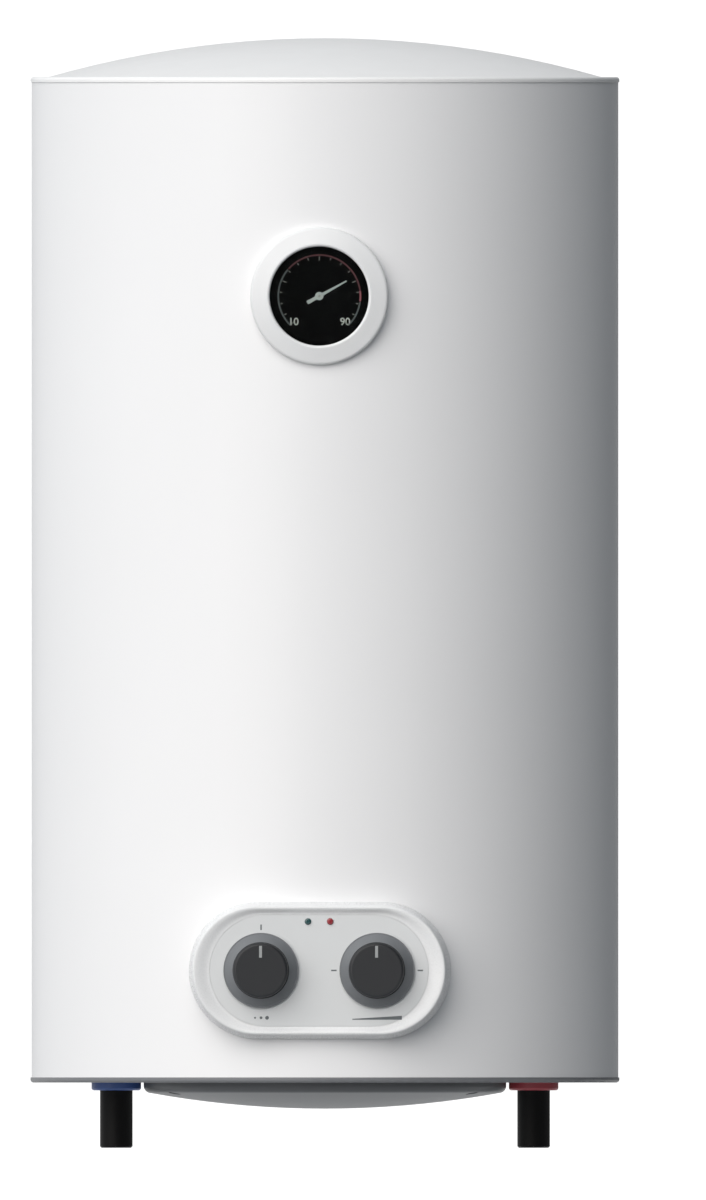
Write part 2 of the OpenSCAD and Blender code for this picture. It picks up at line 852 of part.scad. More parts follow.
module flange_plate() {
    color("silver") difference() {
        rod(neck_ro, flange_z0, gasket_z0);
        flange_holes(flange_bolt_d / 2 + loose);
        element_places() rod(element_d / 2 + slip, 0, neck_z0);
        translate([-anode_offset, 0, 0]) rod(anode_stud_d / 2 + slip, 0, neck_z0);
        well_places() rod(well_d / 2 + slip, 0, neck_z0);
    }
}

module flange_bolts() {
    color("silver") ring_of(flange_bolt_count, bolt_circle_r, bolt_start) {
        hexagon(flange_bolt_d, flange_z0 - bolt_head_t, flange_z0);
        rod(flange_bolt_d / 2, flange_z0, neck_z0 + bolt_grip);
    }
}

// Hairpin heating element with a terminal pin under each leg
module element(y, h) {
    bend_r = element_pitch / 2;
    bend_z = gasket_z0 + h - bend_r;
    color("chocolate") translate([0, y, 0]) {
        for (s = [-1, 1]) translate([s * bend_r, 0, 0]) {
            rod(element_d / 2, flange_z0 - element_stub, bend_z);
            rod(pin_r, flange_z0 - pin_h, flange_z0);
        }
        translate([0, 0, bend_z]) rotate([90, 0, 0]) rotate_extrude(angle = 180) {
            translate([bend_r, 0]) circle(r = element_d / 2);
        }
    }
}

module main_element() {
    element(element_offset, main_element_h);
}

module boost_element() {
    element(-element_offset, boost_element_h);
}

module anode_rod() {
    color("lightgray") translate([-anode_offset, 0, 0]) {
        rod(anode_d / 2, anode_z0, anode_z0 + anode_h);
        rod(anode_stud_d / 2, flange_z0 - anode_nut_t - anode_tail, anode_z0 + over);
    }
}

module anode_nut() {
    color("silver") translate([-anode_offset, 0, 0]) difference() {
        hexagon(anode_stud_d, flange_z0 - anode_nut_t, flange_z0);
        rod(anode_stud_d / 2 + slip, flange_z0 - anode_nut_t - over, flange_z0 + over);
    }
}

module sensor_pockets() {
    color("silver") well_places() difference() {
        rod(well_d / 2, flange_z0 - well_stub, gasket_z0 + well_h);
        rod(well_d / 2 - well_t, flange_z0 - well_stub - over, gasket_z0 + well_h - well_t);
    }
}

module safety_cutout() {
    color("whitesmoke") translate([cutout_offset, 0, 0]) {
        difference() {
            block(cutout_box, cutout_z1 - cutout_box[2]);
            rod(button_d / 2 + room, 0, cutout_z1 - cutout_box[2] + button_h - button_show + button_room);
        }
        rod(cutout_rod_d / 2, cutout_z1 - over, cutout_rod_z1);
    }
}

module reset_button() {
    low = cutout_z1 - cutout_box[2] - button_show;
    color("red") translate([cutout_offset, 0, 0]) rod(button_d / 2, low, low + button_h);
}

// Water connections

module nipple(x) {
    color("silver") translate([x, 0, 0]) tube(pipe_d / 2, pipe_bore / 2, nipple_z0, nipple_z1);
}

module cold_nipple() {
    nipple(-pipe_x);
}

module hot_nipple() {
    nipple(pipe_x);
}

// Cap over the inlet that turns the cold water sideways, through slots
module inlet_diffuser() {
    color("ivory") translate([-pipe_x, 0, 0]) difference() {
        rod(diffuser_r, diffuser_z0, diffuser_z1);
        rod(pipe_d / 2 + slip, diffuser_z0 - over, nipple_z1 + slip);
        rod(pipe_bore / 2, diffuser_z0, diffuser_z1 - diffuser_top);
        for (a = [0:45:135]) rotate([0, 0, a]) {
            block(diffuser_slot, diffuser_z1 - 2 * diffuser_top - diffuser_slot[2]);
        }
    }
}

module hot_standpipe() {
    r = pipe_bore / 2 - slip;
    color("silver") translate([pipe_x, 0, 0]) tube(r, r - standpipe_t, standpipe_z0, standpipe_z1);
}

// Insulating sleeve: screwed on the steel above, with a threaded socket for the house pipe below
module sleeve(x) {
    r = sleeve_d / 2;
    color([0.06, 0.06, 0.07]) translate([x, 0, 0]) difference() {
        union() {
            rod(r, -sleeve_drop + sleeve_edge, sleeve_z1);
            translate([0, 0, -sleeve_drop]) cylinder(r1 = r - sleeve_edge, r2 = r, h = sleeve_edge);
        }
        rod(socket_d / 2, -sleeve_drop - over, -sleeve_drop + socket_depth);
        rod(pipe_bore / 2, -sleeve_drop, 0);
        rod(pipe_d / 2 + slip, nipple_z0 - washer_t, 0);
    }
}

module cold_sleeve() {
    sleeve(-pipe_x);
}

module hot_sleeve() {
    sleeve(pipe_x);
}

module sleeve_washers() {
    color("dimgray") for (s = [-1, 1]) translate([s * pipe_x, 0, 0]) {
        tube(pipe_d / 2 - seat, pipe_bore / 2 + seat, nipple_z0 - washer_t, nipple_z0);
    }
}

module collar(x) {
    translate([x, 0, -cap_lip_h]) difference() {
        rotate_extrude() mirror([0, 1]) edge_profile(0, collar_d / 2, 0, collar_h, collar_round);
        rod(sleeve_d / 2 + seat, -collar_h - over, over);
    }
}

module cold_collar() {
    color("royalblue") collar(-pipe_x);
}

module hot_collar() {
    color("firebrick") collar(pipe_x);
}

// Wall brackets

module bracket_plan() {
    difference() {
        union() {
            translate([-bracket_w / 2, 0]) square([bracket_w, wall_y - bracket_bend]);
            translate([-bracket_w / 2 + bracket_bend, 0]) square([bracket_w - 2 * bracket_bend, wall_y]);
            for (s = [-1, 1]) translate([s * (bracket_w / 2 - bracket_bend), wall_y - bracket_bend]) {
                circle(r = bracket_bend);
            }
        }
        translate([-bracket_w / 2 + bracket_t, -over]) {
            square([bracket_w - 2 * bracket_t, wall_y - bracket_t + over]);
        }
        circle(r = foot_ri);
    }
    for (s = [-1, 1]) intersection() {
        difference() {
            circle(r = foot_ro);
            circle(r = foot_ri);
        }
        polygon([
            [0, 0],
            casing_d * [s * sin(foot_a0), cos(foot_a0)],
            casing_d * [s * sin(foot_a1), cos(foot_a1)]
        ]);
    }
}

module bracket_body(z) {
    color("gainsboro") difference() {
        translate([0, 0, z - bracket_h / 2]) linear_extrude(bracket_h) bracket_plan();
        bracket_bolt_axes() rod(bracket_bolt_d / 2 + seat, casing_r / 2, foot_ro + over);
        children();
    }
}

module upper_bracket() {
    bracket_body(upper_bracket_z) {
        for (s = [-1, 1]) on_back(0, upper_bracket_z) {
            translate([s * hook_pitch / 2, 0, casing_r]) linear_extrude(wall_gap + over) {
                stadium((slot_len - slot_w) / 2, slot_w / 2);
            }
        }
    }
}

module lower_bracket() {
    bracket_body(lower_bracket_z) {
        for (s = [-1, 1]) on_back(0, lower_bracket_z) {
            translate([s * hook_pitch / 2, 0, 0]) rod(lower_hole_d / 2, casing_r, wall_y + over);
        }
    }
}

module bracket_bolts() {
    color("silver") bracket_bolt_axes() {
        hexagon(bracket_bolt_d, foot_ro + seat, foot_ro + seat + bracket_head_t);
        rod(bracket_bolt_d / 2, casing_r - bracket_bolt_in, foot_ro + over);
    }
}

module backing_plates() {
    color("gainsboro") for (z = [upper_bracket_z, lower_bracket_z], s = [-1, 1]) {
        difference() {
            intersection() {
                tube(backing_ro, backing_ro - backing_t, z - backing_h / 2, z + backing_h / 2);
                on_back(s * foot_mid, z) block([backing_w, backing_h, casing_r], casing_r / 2);
            }
            bracket_bolt_axes() rod(bracket_bolt_d / 2 + slip, casing_r / 2, casing_r);
        }
    }
}

// Control panel

// Stations round the rim: share of the half length, and direction out of the end centre
rim_stations = [
    for (i = [0:rim_arc_steps - 1]) [1, -90 + 180 * i / rim_arc_steps],
    for (i = [0:rim_side_steps - 1]) [1 - 2 * i / rim_side_steps, 90],
    for (i = [0:rim_arc_steps - 1]) [-1, 90 + 180 * i / rim_arc_steps],
    for (i = [0:rim_side_steps - 1]) [-1 + 2 * i / rim_side_steps, 270]
];

function rim_xy(st, a, r) = [st[0] * a + r * cos(st[1]), r * sin(st[1])];

function on_casing(p) = [p[0], p[1], sqrt(pow(casing_r + seat, 2) - p[0] * p[0])];

// Flank point at share t from the crest, which is flat, to the foot, which follows the casing
function flank_point(st, t) =
    let (foot = on_casing(rim_xy(st, crest_a, crest_r + panel_flank)))
    let (p = rim_xy(st, crest_a, crest_r + panel_flank * sin(90 * t)))
        [p[0], p[1], crest_z + (foot[2] - crest_z) * (1 - cos(90 * t))];

// Slope point at share t from the crest down to the fascia
function slope_point(st, t) =
    let (p = rim_xy(st, crest_a + (inner_a - crest_a) * t, crest_r + (inner_r - crest_r) * t))
        [p[0], p[1], crest_z - fascia_drop * (1 - cos(180 * t)) / 2];

function rim_at(st, a, r, z) = let (p = rim_xy(st, a, r)) [p[0], p[1], z];

// Section of the rim, from its foot over the crest to the fascia's ledge and back inside
function rim_section(st) = [
    for (i = [flank_steps:-1:0]) flank_point(st, i / flank_steps),
    for (i = [1:slope_steps]) slope_point(st, i / slope_steps),
    rim_at(st, inner_a, inner_r, fascia_z0),
    rim_at(st, inner_a, inner_r - ledge_w, fascia_z0),
    rim_at(st, inner_a, inner_r - ledge_w, fascia_z0 - ledge_t),
    rim_at(st, crest_a, crest_r - panel_wall, fascia_z0 - ledge_t),
    on_casing(rim_xy(st, crest_a, crest_r + panel_flank - panel_wall))
];

module panel_rim() {
    sections = [for (st = rim_stations) rim_section(st)];
    n = len(sections);
    m = len(sections[0]);
    faces = [
        for (i = [0:n - 1], j = [0:m - 1])
            let (here = i * m, next = (i + 1) % n * m, k = (j + 1) % m)
                each [[here + j, here + k, next + j], [here + k, next + k, next + j]]
    ];
    color("white") on_front(panel_z) polyhedron([for (s = sections) each s], faces);
}

module knob_places() {
    for (s = [-1, 1]) translate([s * knob_x, 0, 0]) children();
}

module boss_places() {
    for (p = boss_points) translate(p) children();
}

module lamp_places() {
    for (s = [-1, 1]) translate([s * lamp_pitch / 2, lamp_rise, 0]) children();
}

module panel_fascia() {
    color("whitesmoke") on_front(panel_z) difference() {
        union() {
            translate([0, 0, fascia_z0]) linear_extrude(fascia_t) stadium(inner_a, inner_r - fascia_fit);
            boss_places() rod(boss_r, chassis_z1, fascia_z0 + over);
        }
        knob_places() rod(bush_d / 2 + loose, fascia_z0 - over, fascia_z1 + over);
        lamp_places() rod(lamp_d / 2 + seat, fascia_z0 - over, fascia_z1 + over);
        boss_places() rod(chassis_screw_d / 2 + slip, chassis_z0, chassis_z1 + screw_grip);
    }
}

module panel_chassis() {
    color("silver") on_front(panel_z) difference() {
        translate([0, 0, chassis_z0]) linear_extrude(chassis_t) {
            round_box(chassis_w, chassis_h, chassis_round);
        }
        knob_places() rod(bush_d / 2 + seat, chassis_z0 - over, chassis_z1 + over);
        boss_places() rod(chassis_screw_d / 2 + seat, chassis_z0 - over, chassis_z1 + over);
    }
}

module chassis_screws() {
    color("silver") on_front(panel_z) boss_places() {
        rod(chassis_screw_d, chassis_z0 - screw_head_t, chassis_z0);
        rod(chassis_screw_d / 2, chassis_z0 - over, chassis_z1 + screw_grip - over);
    }
}

// Body of a control with its bush, terminal tabs and the bore that its shaft turns in
module control_body(x, size, tabs) {
    back = chassis_z0 - size[2];
    on_front(panel_z, x) difference() {
        union() {
            block(size, back);
            rod(bush_d / 2, chassis_z0 - over, chassis_z1 + bush_h);
            for (p = tabs) translate(p) block(tab, back - tab[2]);
            children();
        }
        rod(shaft_d / 2 + slip, chassis_z0 - shaft_in - loose, chassis_z1 + bush_h + over);
    }
}

module power_switch() {
    color("dimgray") control_body(-knob_x, switch_box, switch_tabs);
}

module thermostat() {
    color("tan") control_body(knob_x, thermostat_box, thermostat_tabs) {
        rod(capsule_r, thermostat_back - capsule_t, thermostat_back + over);
    }
}

module thermostat_capillary() {
    color("peru") {
        swept_tube(capillary_route, capillary_r);
        translate([0, -bulb_offset, 0]) rod(bulb_d / 2, neck_z0, neck_z0 + bulb_h);
    }
}

// Lens with a domed front, and the lamp body behind the fascia
module lamp(x) {
    on_front(panel_z, x) translate([0, lamp_rise, 0]) {
        rotate_extrude() edge_profile(0, lamp_d / 2, fascia_z0 - over, fascia_z1 + lamp_proud, lens_round);
        rod(lamp_body_r, fascia_z0 - lamp_body_h, fascia_z0);
    }
}

module power_lamp() {
    color("seagreen") lamp(-lamp_pitch / 2);
}

module heating_lamp() {
    color("red") lamp(lamp_pitch / 2);
}

// Knobs

// Shaft section with a flat, and with a gap added all round for the bore that takes it
module shaft_section(gap) {
    r = shaft_d / 2 + gap;
    difference() {
        circle(r = r);
        translate([-r - over, shaft_d / 2 - shaft_flat + gap]) square(2 * r + 2 * over);
    }
}

module shaft(x) {
    color("silver") on_front(panel_z, x) {
        rod(shaft_d / 2, chassis_z0 - shaft_in, fascia_z1);
        translate([0, 0, fascia_z1 - over]) linear_extrude(shaft_flat_h + over) shaft_section(0);
    }
}

// Half profile of a knob: skirt edge, slope, cap with a rounded front, hollow behind, hub inside
module knob_profile() {
    cap_r = knob_cap_d / 2;
    skirt_r = skirt_d / 2;
    difference() {
        union() {
            square([skirt_r, skirt_edge_h]);
            polygon([
                [0, skirt_edge_h - over / 2], [skirt_r - skirt_step, skirt_edge_h - over / 2],
                [skirt_r - skirt_step, skirt_edge_h], [cap_r + cap_fillet, skirt_h], [0, skirt_h]
            ]);
            edge_profile(0, cap_r, 0, knob_h, knob_round);
        }
        translate([0, -over]) square([cap_r - knob_wall, knob_h - knob_wall - mark_t + over]);
    }
    square([hub_r, knob_h - knob_wall]);
}

module mark_shape(gap) {
    translate([-mark_w / 2 - gap, mark_r1 - mark_len - gap]) square([mark_w + 2 * gap, mark_len + 2 * gap]);
}

module knob(x) {
    color([0.2, 0.21, 0.22]) on_front(panel_z, x) translate([0, 0, knob_z0]) difference() {
        rotate_extrude() knob_profile();
        translate([0, 0, -over]) linear_extrude(knob_bore_h + over) shaft_section(slip);
        translate([0, 0, knob_h - mark_t]) linear_extrude(mark_t + over) mark_shape(slip);
    }
}

module mark(x) {
    color("white") on_front(panel_z, x) translate([0, 0, knob_z0 + knob_h - mark_t]) {
        linear_extrude(mark_t) mark_shape(0);
    }
}

module selector_knob() {
    knob(-knob_x);
}

module thermostat_knob() {
    knob(knob_x);
}

module selector_shaft() {
    shaft(-knob_x);
}

module thermostat_shaft() {
    shaft(knob_x);
}

module selector_mark() {
    mark(-knob_x);
}

module thermostat_mark() {
    mark(knob_x);
}

// Thermometer

// Half profile of the bezel: a rounded crest beside the glass, and a face that falls to a rounded edge
module bezel_profile() {
    q0 = bezel_crest_round;
    q1 = bezel_edge_round;
    r0 = dial_d / 2;
    r1 = bezel_d / 2;
    foot_z = casing_r - bezel_d / 4;
    c0 = [r0 + q0, casing_r + bezel_proud - q0];
    c1 = [r1 - q1, casing_r + bezel_proud - bezel_fall - q1];
    across = c1 - c0;
    // Square to the face, which touches both roundings
    square_to = atan2(across[1], across[0]) + acos((q0 - q1) / norm(across));
    up = [cos(square_to), sin(square_to)];
    difference() {
        union() {
            polygon([
                [r0, foot_z], [r1, foot_z], [r1, c1[1]], c1,
                c1 + q1 * up, c0 + q0 * up, c0, [r0, c0[1]]
            ]);
            translate(c0) circle(r = q0);
            translate(c1) circle(r = q1);
        }
        translate([0, foot_z - over]) square([case_r + slip, glass_z1 - foot_z + over]);
    }
}

module thermometer_bezel() {
    color("white") difference() {
        on_front(thermo_z) rotate_extrude() bezel_profile();
        rod(casing_r + seat, 0, casing_h, $fn = ball_fn);
    }
}

module thermometer_case() {
    color("dimgray") on_front(thermo_z) difference() {
        union() {
            difference() {
                rod(case_r, case_z0, glass_z0);
                rod(case_r - case_wall, case_z0 + case_floor, glass_z0 + over);
            }
            tube(case_r - case_wall / 2, case_r - case_wall - shelf_w, dial_z0 - shelf_w, dial_z0);
            translate([coil_r1 + coil_post_r, 0, 0]) rod(coil_post_r, case_z0 + over, coil_z0 + coil_h);
        }
        rod(arbor_d / 2 + slip, case_z0 + arbor_seat, case_z0 + case_floor + over);
    }
}

module thermometer_glass() {
    color("lightblue", 0.4) on_front(thermo_z) rod(glass_r, glass_z0, glass_z1);
}

module thermometer_dial() {
    color([0.05, 0.05, 0.05]) on_front(thermo_z) tube(case_r - case_wall - slip, arbor_d, dial_z0, dial_z1);
}

module thermometer_stem() {
    color("goldenrod") on_front(thermo_z) difference() {
        rod(stem_d / 2, tank_r / 2, case_z0);
        rotate([-90, 0, 0]) rod(tank_r + seat, -stem_d, stem_d);
    }
}

function spiral(r0, r1, turns, steps) = [
    for (i = [0:turns * steps])
        let (t = i / (turns * steps), a = 360 * turns * t)
            (r0 + (r1 - r0) * t) * [cos(a), sin(a)]
];

// Flat spiral of bimetal strip between the arbor and a post in the case
module bimetal_coil() {
    inner = spiral(coil_r0, coil_r1 - coil_t, coil_turns, coil_steps);
    outer = spiral(coil_r0 + coil_t, coil_r1 - slip, coil_turns, coil_steps);
    n = len(outer);
    color("goldenrod") on_front(thermo_z) translate([0, 0, coil_z0]) linear_extrude(coil_h) {
        polygon(concat(inner, [for (i = [n - 1:-1:0]) outer[i]]));
    }
}

module thermometer_pointer() {
    color("white") on_front(thermo_z) translate([0, 0, pointer_z0]) rotate([0, 0, -pointer_angle]) {
        linear_extrude(pointer_t) difference() {
            union() {
                polygon([
                    [-pointer_w0 / 2, -pointer_tail], [pointer_w0 / 2, -pointer_tail],
                    [pointer_w1 / 2, pointer_len], [-pointer_w1 / 2, pointer_len]
                ]);
                circle(d = pointer_hub_d);
            }
            circle(d = arbor_d + slip);
        }
    }
}

module pointer_arbor() {
    color("silver") on_front(thermo_z) rod(arbor_d / 2, arbor_z0, arbor_z1);
}

// Cable entry and wiring

module terminal_block() {
    color("ivory") translate([0, block_y, 0]) difference() {
        block(block_box, 0);
        for (k = [-2:2]) translate([k * block_pitch, 0, 0]) {
            rod(block_screw_r, block_box[2] - block_screw_h, block_box[2] + over);
        }
    }
}

module cable_gland() {
    color([0.1, 0.1, 0.11]) translate(gland_at) difference() {
        union() {
            rod(gland_d / 2, gland_z1 - over, gland_in);
            translate([0, 0, gland_z1 - gland_flange_h]) {
                cylinder(r = gland_hex_r, h = gland_flange_h, $fn = 6);
            }
            rotate_extrude() mirror([0, 1]) {
                edge_profile(0, gland_dome_r, gland_flange_h - gland_z1 - over, -gland_z0, gland_dome_round);
            }
        }
        rod(gland_bore / 2, gland_z0 - over, gland_z0 + gland_seal_h);
        rod(gland_d / 2 - cap_wall, gland_z0 + gland_seal_h, gland_in + over);
    }
}

module gland_nut() {
    color([0.1, 0.1, 0.11]) translate(gland_at) difference() {
        cylinder(r = gland_hex_r, h = gland_nut_t, $fn = 6);
        rod(gland_d / 2 + slip, -over, gland_nut_t + over);
    }
}

module wiring_loom() {
    color("firebrick") for (route = wire_routes) swept_tube(route, wire_r, 3, 6);
}

// The pieces

place() outer_casing();
place() top_cap();
place() bottom_cap();
place() service_cover();
place() cover_screws();
place() insulation_foam();
place() tank_shell();
place() tank_top_dish();
place() tank_bottom_dish();
place() flange_neck();
place() flange_gasket();
place() flange_plate();
place() flange_bolts();
place() main_element();
place() boost_element();
place() anode_rod();
place() anode_nut();
place() sensor_pockets();
place() safety_cutout();
place() reset_button();
place() cold_nipple();
place() hot_nipple();
place() inlet_diffuser();
place() hot_standpipe();
place() cold_sleeve();
place() hot_sleeve();
place() sleeve_washers();
place() cold_collar();
place() hot_collar();
place() upper_bracket();
place() lower_bracket();
place() bracket_bolts();
place() backing_plates();
place() panel_rim();
place() panel_fascia();
place() panel_chassis();
place() chassis_screws();
place() power_switch();
place() thermostat();
place() thermostat_capillary();
place() power_lamp();
place() heating_lamp();
place() thermometer_bezel();
place() thermometer_case();
place() thermometer_glass();
place() thermometer_dial();
place() thermometer_stem();
place() bimetal_coil();
place() terminal_block();
place() cable_gland();
place() gland_nut();
place() wiring_loom();
place() selector_knob();
place() selector_shaft();
place() thermostat_knob();
place() thermostat_shaft();
place() thermometer_pointer();
place() pointer_arbor();
place() selector_mark();
place() thermostat_mark();
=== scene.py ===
"""Finishes, prints and small fittings for a wall-hung water heater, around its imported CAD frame."""

import math

import bmesh
import bpy
from bpy.props import (
    FloatProperty, FloatVectorProperty, IntProperty, PointerProperty, StringProperty,
)
from mathutils import Matrix, Vector


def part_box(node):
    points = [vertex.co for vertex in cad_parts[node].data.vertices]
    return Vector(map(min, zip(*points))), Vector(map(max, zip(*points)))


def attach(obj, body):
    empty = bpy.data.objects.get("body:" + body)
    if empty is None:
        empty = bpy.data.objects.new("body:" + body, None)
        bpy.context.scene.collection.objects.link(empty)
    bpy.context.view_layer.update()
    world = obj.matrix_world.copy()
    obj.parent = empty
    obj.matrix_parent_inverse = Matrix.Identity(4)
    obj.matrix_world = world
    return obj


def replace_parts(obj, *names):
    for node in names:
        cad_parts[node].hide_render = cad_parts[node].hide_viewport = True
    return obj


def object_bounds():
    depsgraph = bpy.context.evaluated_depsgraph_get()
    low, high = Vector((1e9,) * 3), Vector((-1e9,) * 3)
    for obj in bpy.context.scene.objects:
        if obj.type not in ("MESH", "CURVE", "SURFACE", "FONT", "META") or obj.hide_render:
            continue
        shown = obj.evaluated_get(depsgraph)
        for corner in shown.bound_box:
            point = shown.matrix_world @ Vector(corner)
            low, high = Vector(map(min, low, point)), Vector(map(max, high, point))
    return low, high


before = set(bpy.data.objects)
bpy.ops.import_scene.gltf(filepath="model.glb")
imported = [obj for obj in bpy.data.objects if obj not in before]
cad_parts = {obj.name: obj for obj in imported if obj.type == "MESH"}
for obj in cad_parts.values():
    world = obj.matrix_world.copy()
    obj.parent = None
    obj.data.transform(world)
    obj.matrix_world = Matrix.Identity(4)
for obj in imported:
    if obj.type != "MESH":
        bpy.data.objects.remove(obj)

bl_info = {
    "name": "Storage water heater",
    "version": (1, 0, 0),
    "blender": (4, 5, 0),
    "location": "View3D > Sidebar > Heater",
    "description": "Dresses the heater's CAD frame with finishes, prints and fittings",
    "category": "Object",
}

MM = 0.001
CAD_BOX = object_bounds()


def centre_of(node):
    low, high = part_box(node)
    return (low + high) / 2


def front_of(node):
    """Y of a node's front face: the front looks along -Y."""
    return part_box(node)[0].y


CASING_LOW, CASING_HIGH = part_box("outer_casing")
CASING_R = (CASING_HIGH.x - CASING_LOW.x) / 2
AXIS = Vector((centre_of("outer_casing").x, CASING_LOW.y + CASING_R, 0))
DIAL = centre_of("thermometer_dial")
PANEL = centre_of("panel_fascia")


# Settings

def linear(hex_colour):
    """Linear RGBA of an sRGB colour such as F2F2F0."""
    parts = [int(hex_colour[i:i + 2], 16) / 255 for i in (0, 2, 4)]
    return [c / 12.92 if c <= 0.04045 else ((c + 0.055) / 1.055) ** 2.4 for c in parts] + [1.0]


WHITE = linear("FFFFFF")


def colour(label, hex_colour, about):
    return FloatVectorProperty(
        name=label, description=about, default=linear(hex_colour),
        size=4, subtype="COLOR", min=0, max=1,
    )


def length(label, millimetres, about):
    return FloatProperty(
        name=label, description=about, default=millimetres * MM, unit="LENGTH", precision=5
    )


def angle(label, degrees, about):
    return FloatProperty(
        name=label, description=about, default=math.radians(degrees), subtype="ANGLE"
    )


def brightness(label, value, about):
    return FloatProperty(name=label, description=about, default=value, min=0)


class HeaterColours(bpy.types.PropertyGroup):
    """Colours of the pieces"""

    enamel: colour("Enamel", "F0F0F0", "Stoved enamel of the casing")
    cap: colour("Cap", "F2F2F1", "Moulded top cap")
    mouldings: colour("Mouldings", "E7E8E8", "Panel rim and thermometer bezel")
    base: colour("Base", "77797C", "Bottom cap")
    cover: colour("Cover", "7A7C7E", "Service cover")
    fascia: colour("Fascia", "D8DADA", "Moulded fascia behind the knobs")
    knobs: colour("Knobs", "25272A", "Moulded caps of the knobs")
    # Painted light: the skirts' grey is lighter than the caps' to stand in for the light that their
    # sloping faces catch
    painted_lit_skirts: colour("Skirts", "74777A", "Sloping skirts of the knobs")
    marks: colour("Marks", "9A9D9D", "Mark set into each knob")
    black: colour("Black", "050506", "Insulating sleeves and cable gland")
    cold: colour("Cold", "4868AC", "Collar of the cold connection")
    hot: colour("Hot", "C04E58", "Collar of the hot connection")
    power_lens: colour("Power lens", "3E6E70", "Lens of the power lamp")
    heating_lens: colour("Heating lens", "C8404A", "Lens of the heating lamp")
    glass: colour("Glass", "F4FAF8", "Glass over the dial")
    dial: colour("Dial", "0A0A0B", "Painted dial plate")
    pointer: colour("Pointer", "D8DCDA", "Painted hand of the thermometer")
    scale: colour("Scale", "8C8A86", "Printed marks of the dial's scale")
    cool_arc: colour("Cool arc", "6E7274", "Printed arc of the dial's scale, up to the warm part")
    warm_arc: colour("Warm arc", "7A4A50", "Printed arc of the dial's scale, over the warm part")
    hot_arc: colour("Hot arc", "C0707A", "Printed arc of the dial's scale, at the hot end")
    numbers: colour("Numbers", "E4E6E2", "Printed numbers of the dial")
    panel_ink: colour("Panel ink", "6B7072", "Printed marks of the fascia")
    galvanised: colour("Galvanised sheet", "C9CBCC", "Brackets, backing plates and chassis")
    zinc: colour("Zinc", "C4C4C0", "Plated screws, bolts and shafts")
    vitreous: colour("Vitreous enamel", "4E5A72", "Enamel of the tank")
    stainless: colour("Stainless steel", "BDBDBA", "Flange plate, pockets and pipes")
    nickel: colour("Nickel alloy", "8E7C70", "Heating elements")
    magnesium: colour("Magnesium", "C2C4C4", "Anode")
    brass: colour("Brass", "B98F4A", "Works of the thermometer and the thermostat")
    ivory: colour("Ivory", "DDD8C4", "Plastic of the electrical pieces")
    button: colour("Button", "B03028", "Reset button")
    rubber: colour("Rubber", "2A2A2A", "Gasket and washers")
    wire: colour("Wire", "A83A30", "Covering of the wires")
    foam: colour("Foam", "E0CF92", "Insulating foam")


class HeaterPrints(bpy.types.PropertyGroup):
    """Sizes of the printed marks"""

    ink_t: length("Ink thickness", 0.08, "How far the prints stand out")
    scale_r: length("Scale radius", 31.5, "Middle radius of the dial's arc")
    scale_w: length("Scale width", 1.3, "Width of the dial's arc")
    tick_len: length("Tick length", 3.2, "Length of a long mark on the dial")
    tick_w: length("Tick width", 0.8, "Width of a mark on the dial")
    tick_gap: length("Tick gap", 0.4, "Gap between the dial's arc and its marks")
    ticks: IntProperty(
        name="Divisions", description="Divisions of the dial's scale", default=16, min=4, max=60
    )
    sweep: angle("Sweep", 135, "Half of the angle that the scale spans")
    low_number: StringProperty(
        name="Low number", description="Number at the scale's cold end", default="10"
    )
    high_number: StringProperty(
        name="High number", description="Number at the scale's hot end", default="90"
    )
    number_h: length("Number height", 8.0, "Height of the dial's numbers")
    number_r: length("Number radius", 28.0, "Distance of the numbers from the dial's middle")
    number_weight: length("Number weight", 0.12, "How far the numbers' strokes are thickened")
    mark_gap: length("Mark gap", 2.2, "Gap between a knob and the marks beside it")
    mark_len: length("Mark length", 4.2, "Length of a mark beside a knob")
    mark_w: length("Mark width", 1.1, "Width of a mark beside a knob")
    below: length("Below", 7.5, "Distance of the dots and the wedge below the knobs")
    dot_pitch: length("Dot pitch", 4.6, "Distance from dot to dot")
    dot_r: length("Dot radius", 1.1, "Radius of the middle dot")
    dot_step: length("Dot step", 0.35, "How much the radius grows from dot to dot")
    wedge_half: length("Wedge half", 19.0, "Half of the wedge's length")
    wedge_thin: length("Wedge thin end", 0.35, "Half of the wedge's height at its thin end")
    wedge_thick: length("Wedge thick end", 1.5, "Half of the wedge's height at its thick end")


class HeaterPanel(bpy.types.PropertyGroup):
    """Sizes of the panel's moulded rim"""

    crest_w: length("Crest width", 192.0, "Width between the crests")
    crest_h: length("Crest height", 96.0, "Height between the crests")
    flank: length("Flank", 4.5, "Width of the rounded flank outside the crest")
    proud: length("Proud", 13.0, "How far the crest stands out from the casing")
    drop: length("Drop", 2.6, "Depth of the fascia below the crest")
    side: length("Side slope", 5.0, "Width of the slope above and below the fascia")
    end: length("End slope", 12.0, "Width of the slope at the two ends")
    fascia_t: length("Fascia thickness", 2.5, "Thickness of the fascia in its seat")
    ledge_w: length("Ledge width", 1.5, "Width of the ledge that carries the fascia")
    ledge_t: length("Ledge thickness", 2.0, "Thickness of that ledge")
    wall: length("Wall", 2.6, "Wall of the rim at its foot")
    gap: length("Gap", 0.1, "Gap between the rim's foot and the casing")


class HeaterScrews(bpy.types.PropertyGroup):
    """Sizes of the service cover's screws"""

    shank_r: length("Shank radius", 1.9, "Radius of the shank")
    head_t: length("Head thickness", 2.8, "Thickness of the pan head")
    head_round: length("Head rounding", 1.3, "Rounding of the head's rim")
    arm_l: length("Recess length", 5.0, "Length of an arm of the cross recess, tip to tip")
    arm_w: length("Recess width", 1.0, "Width of an arm of the cross recess")
    deep: length("Recess depth", 1.7, "Depth of the cross recess")


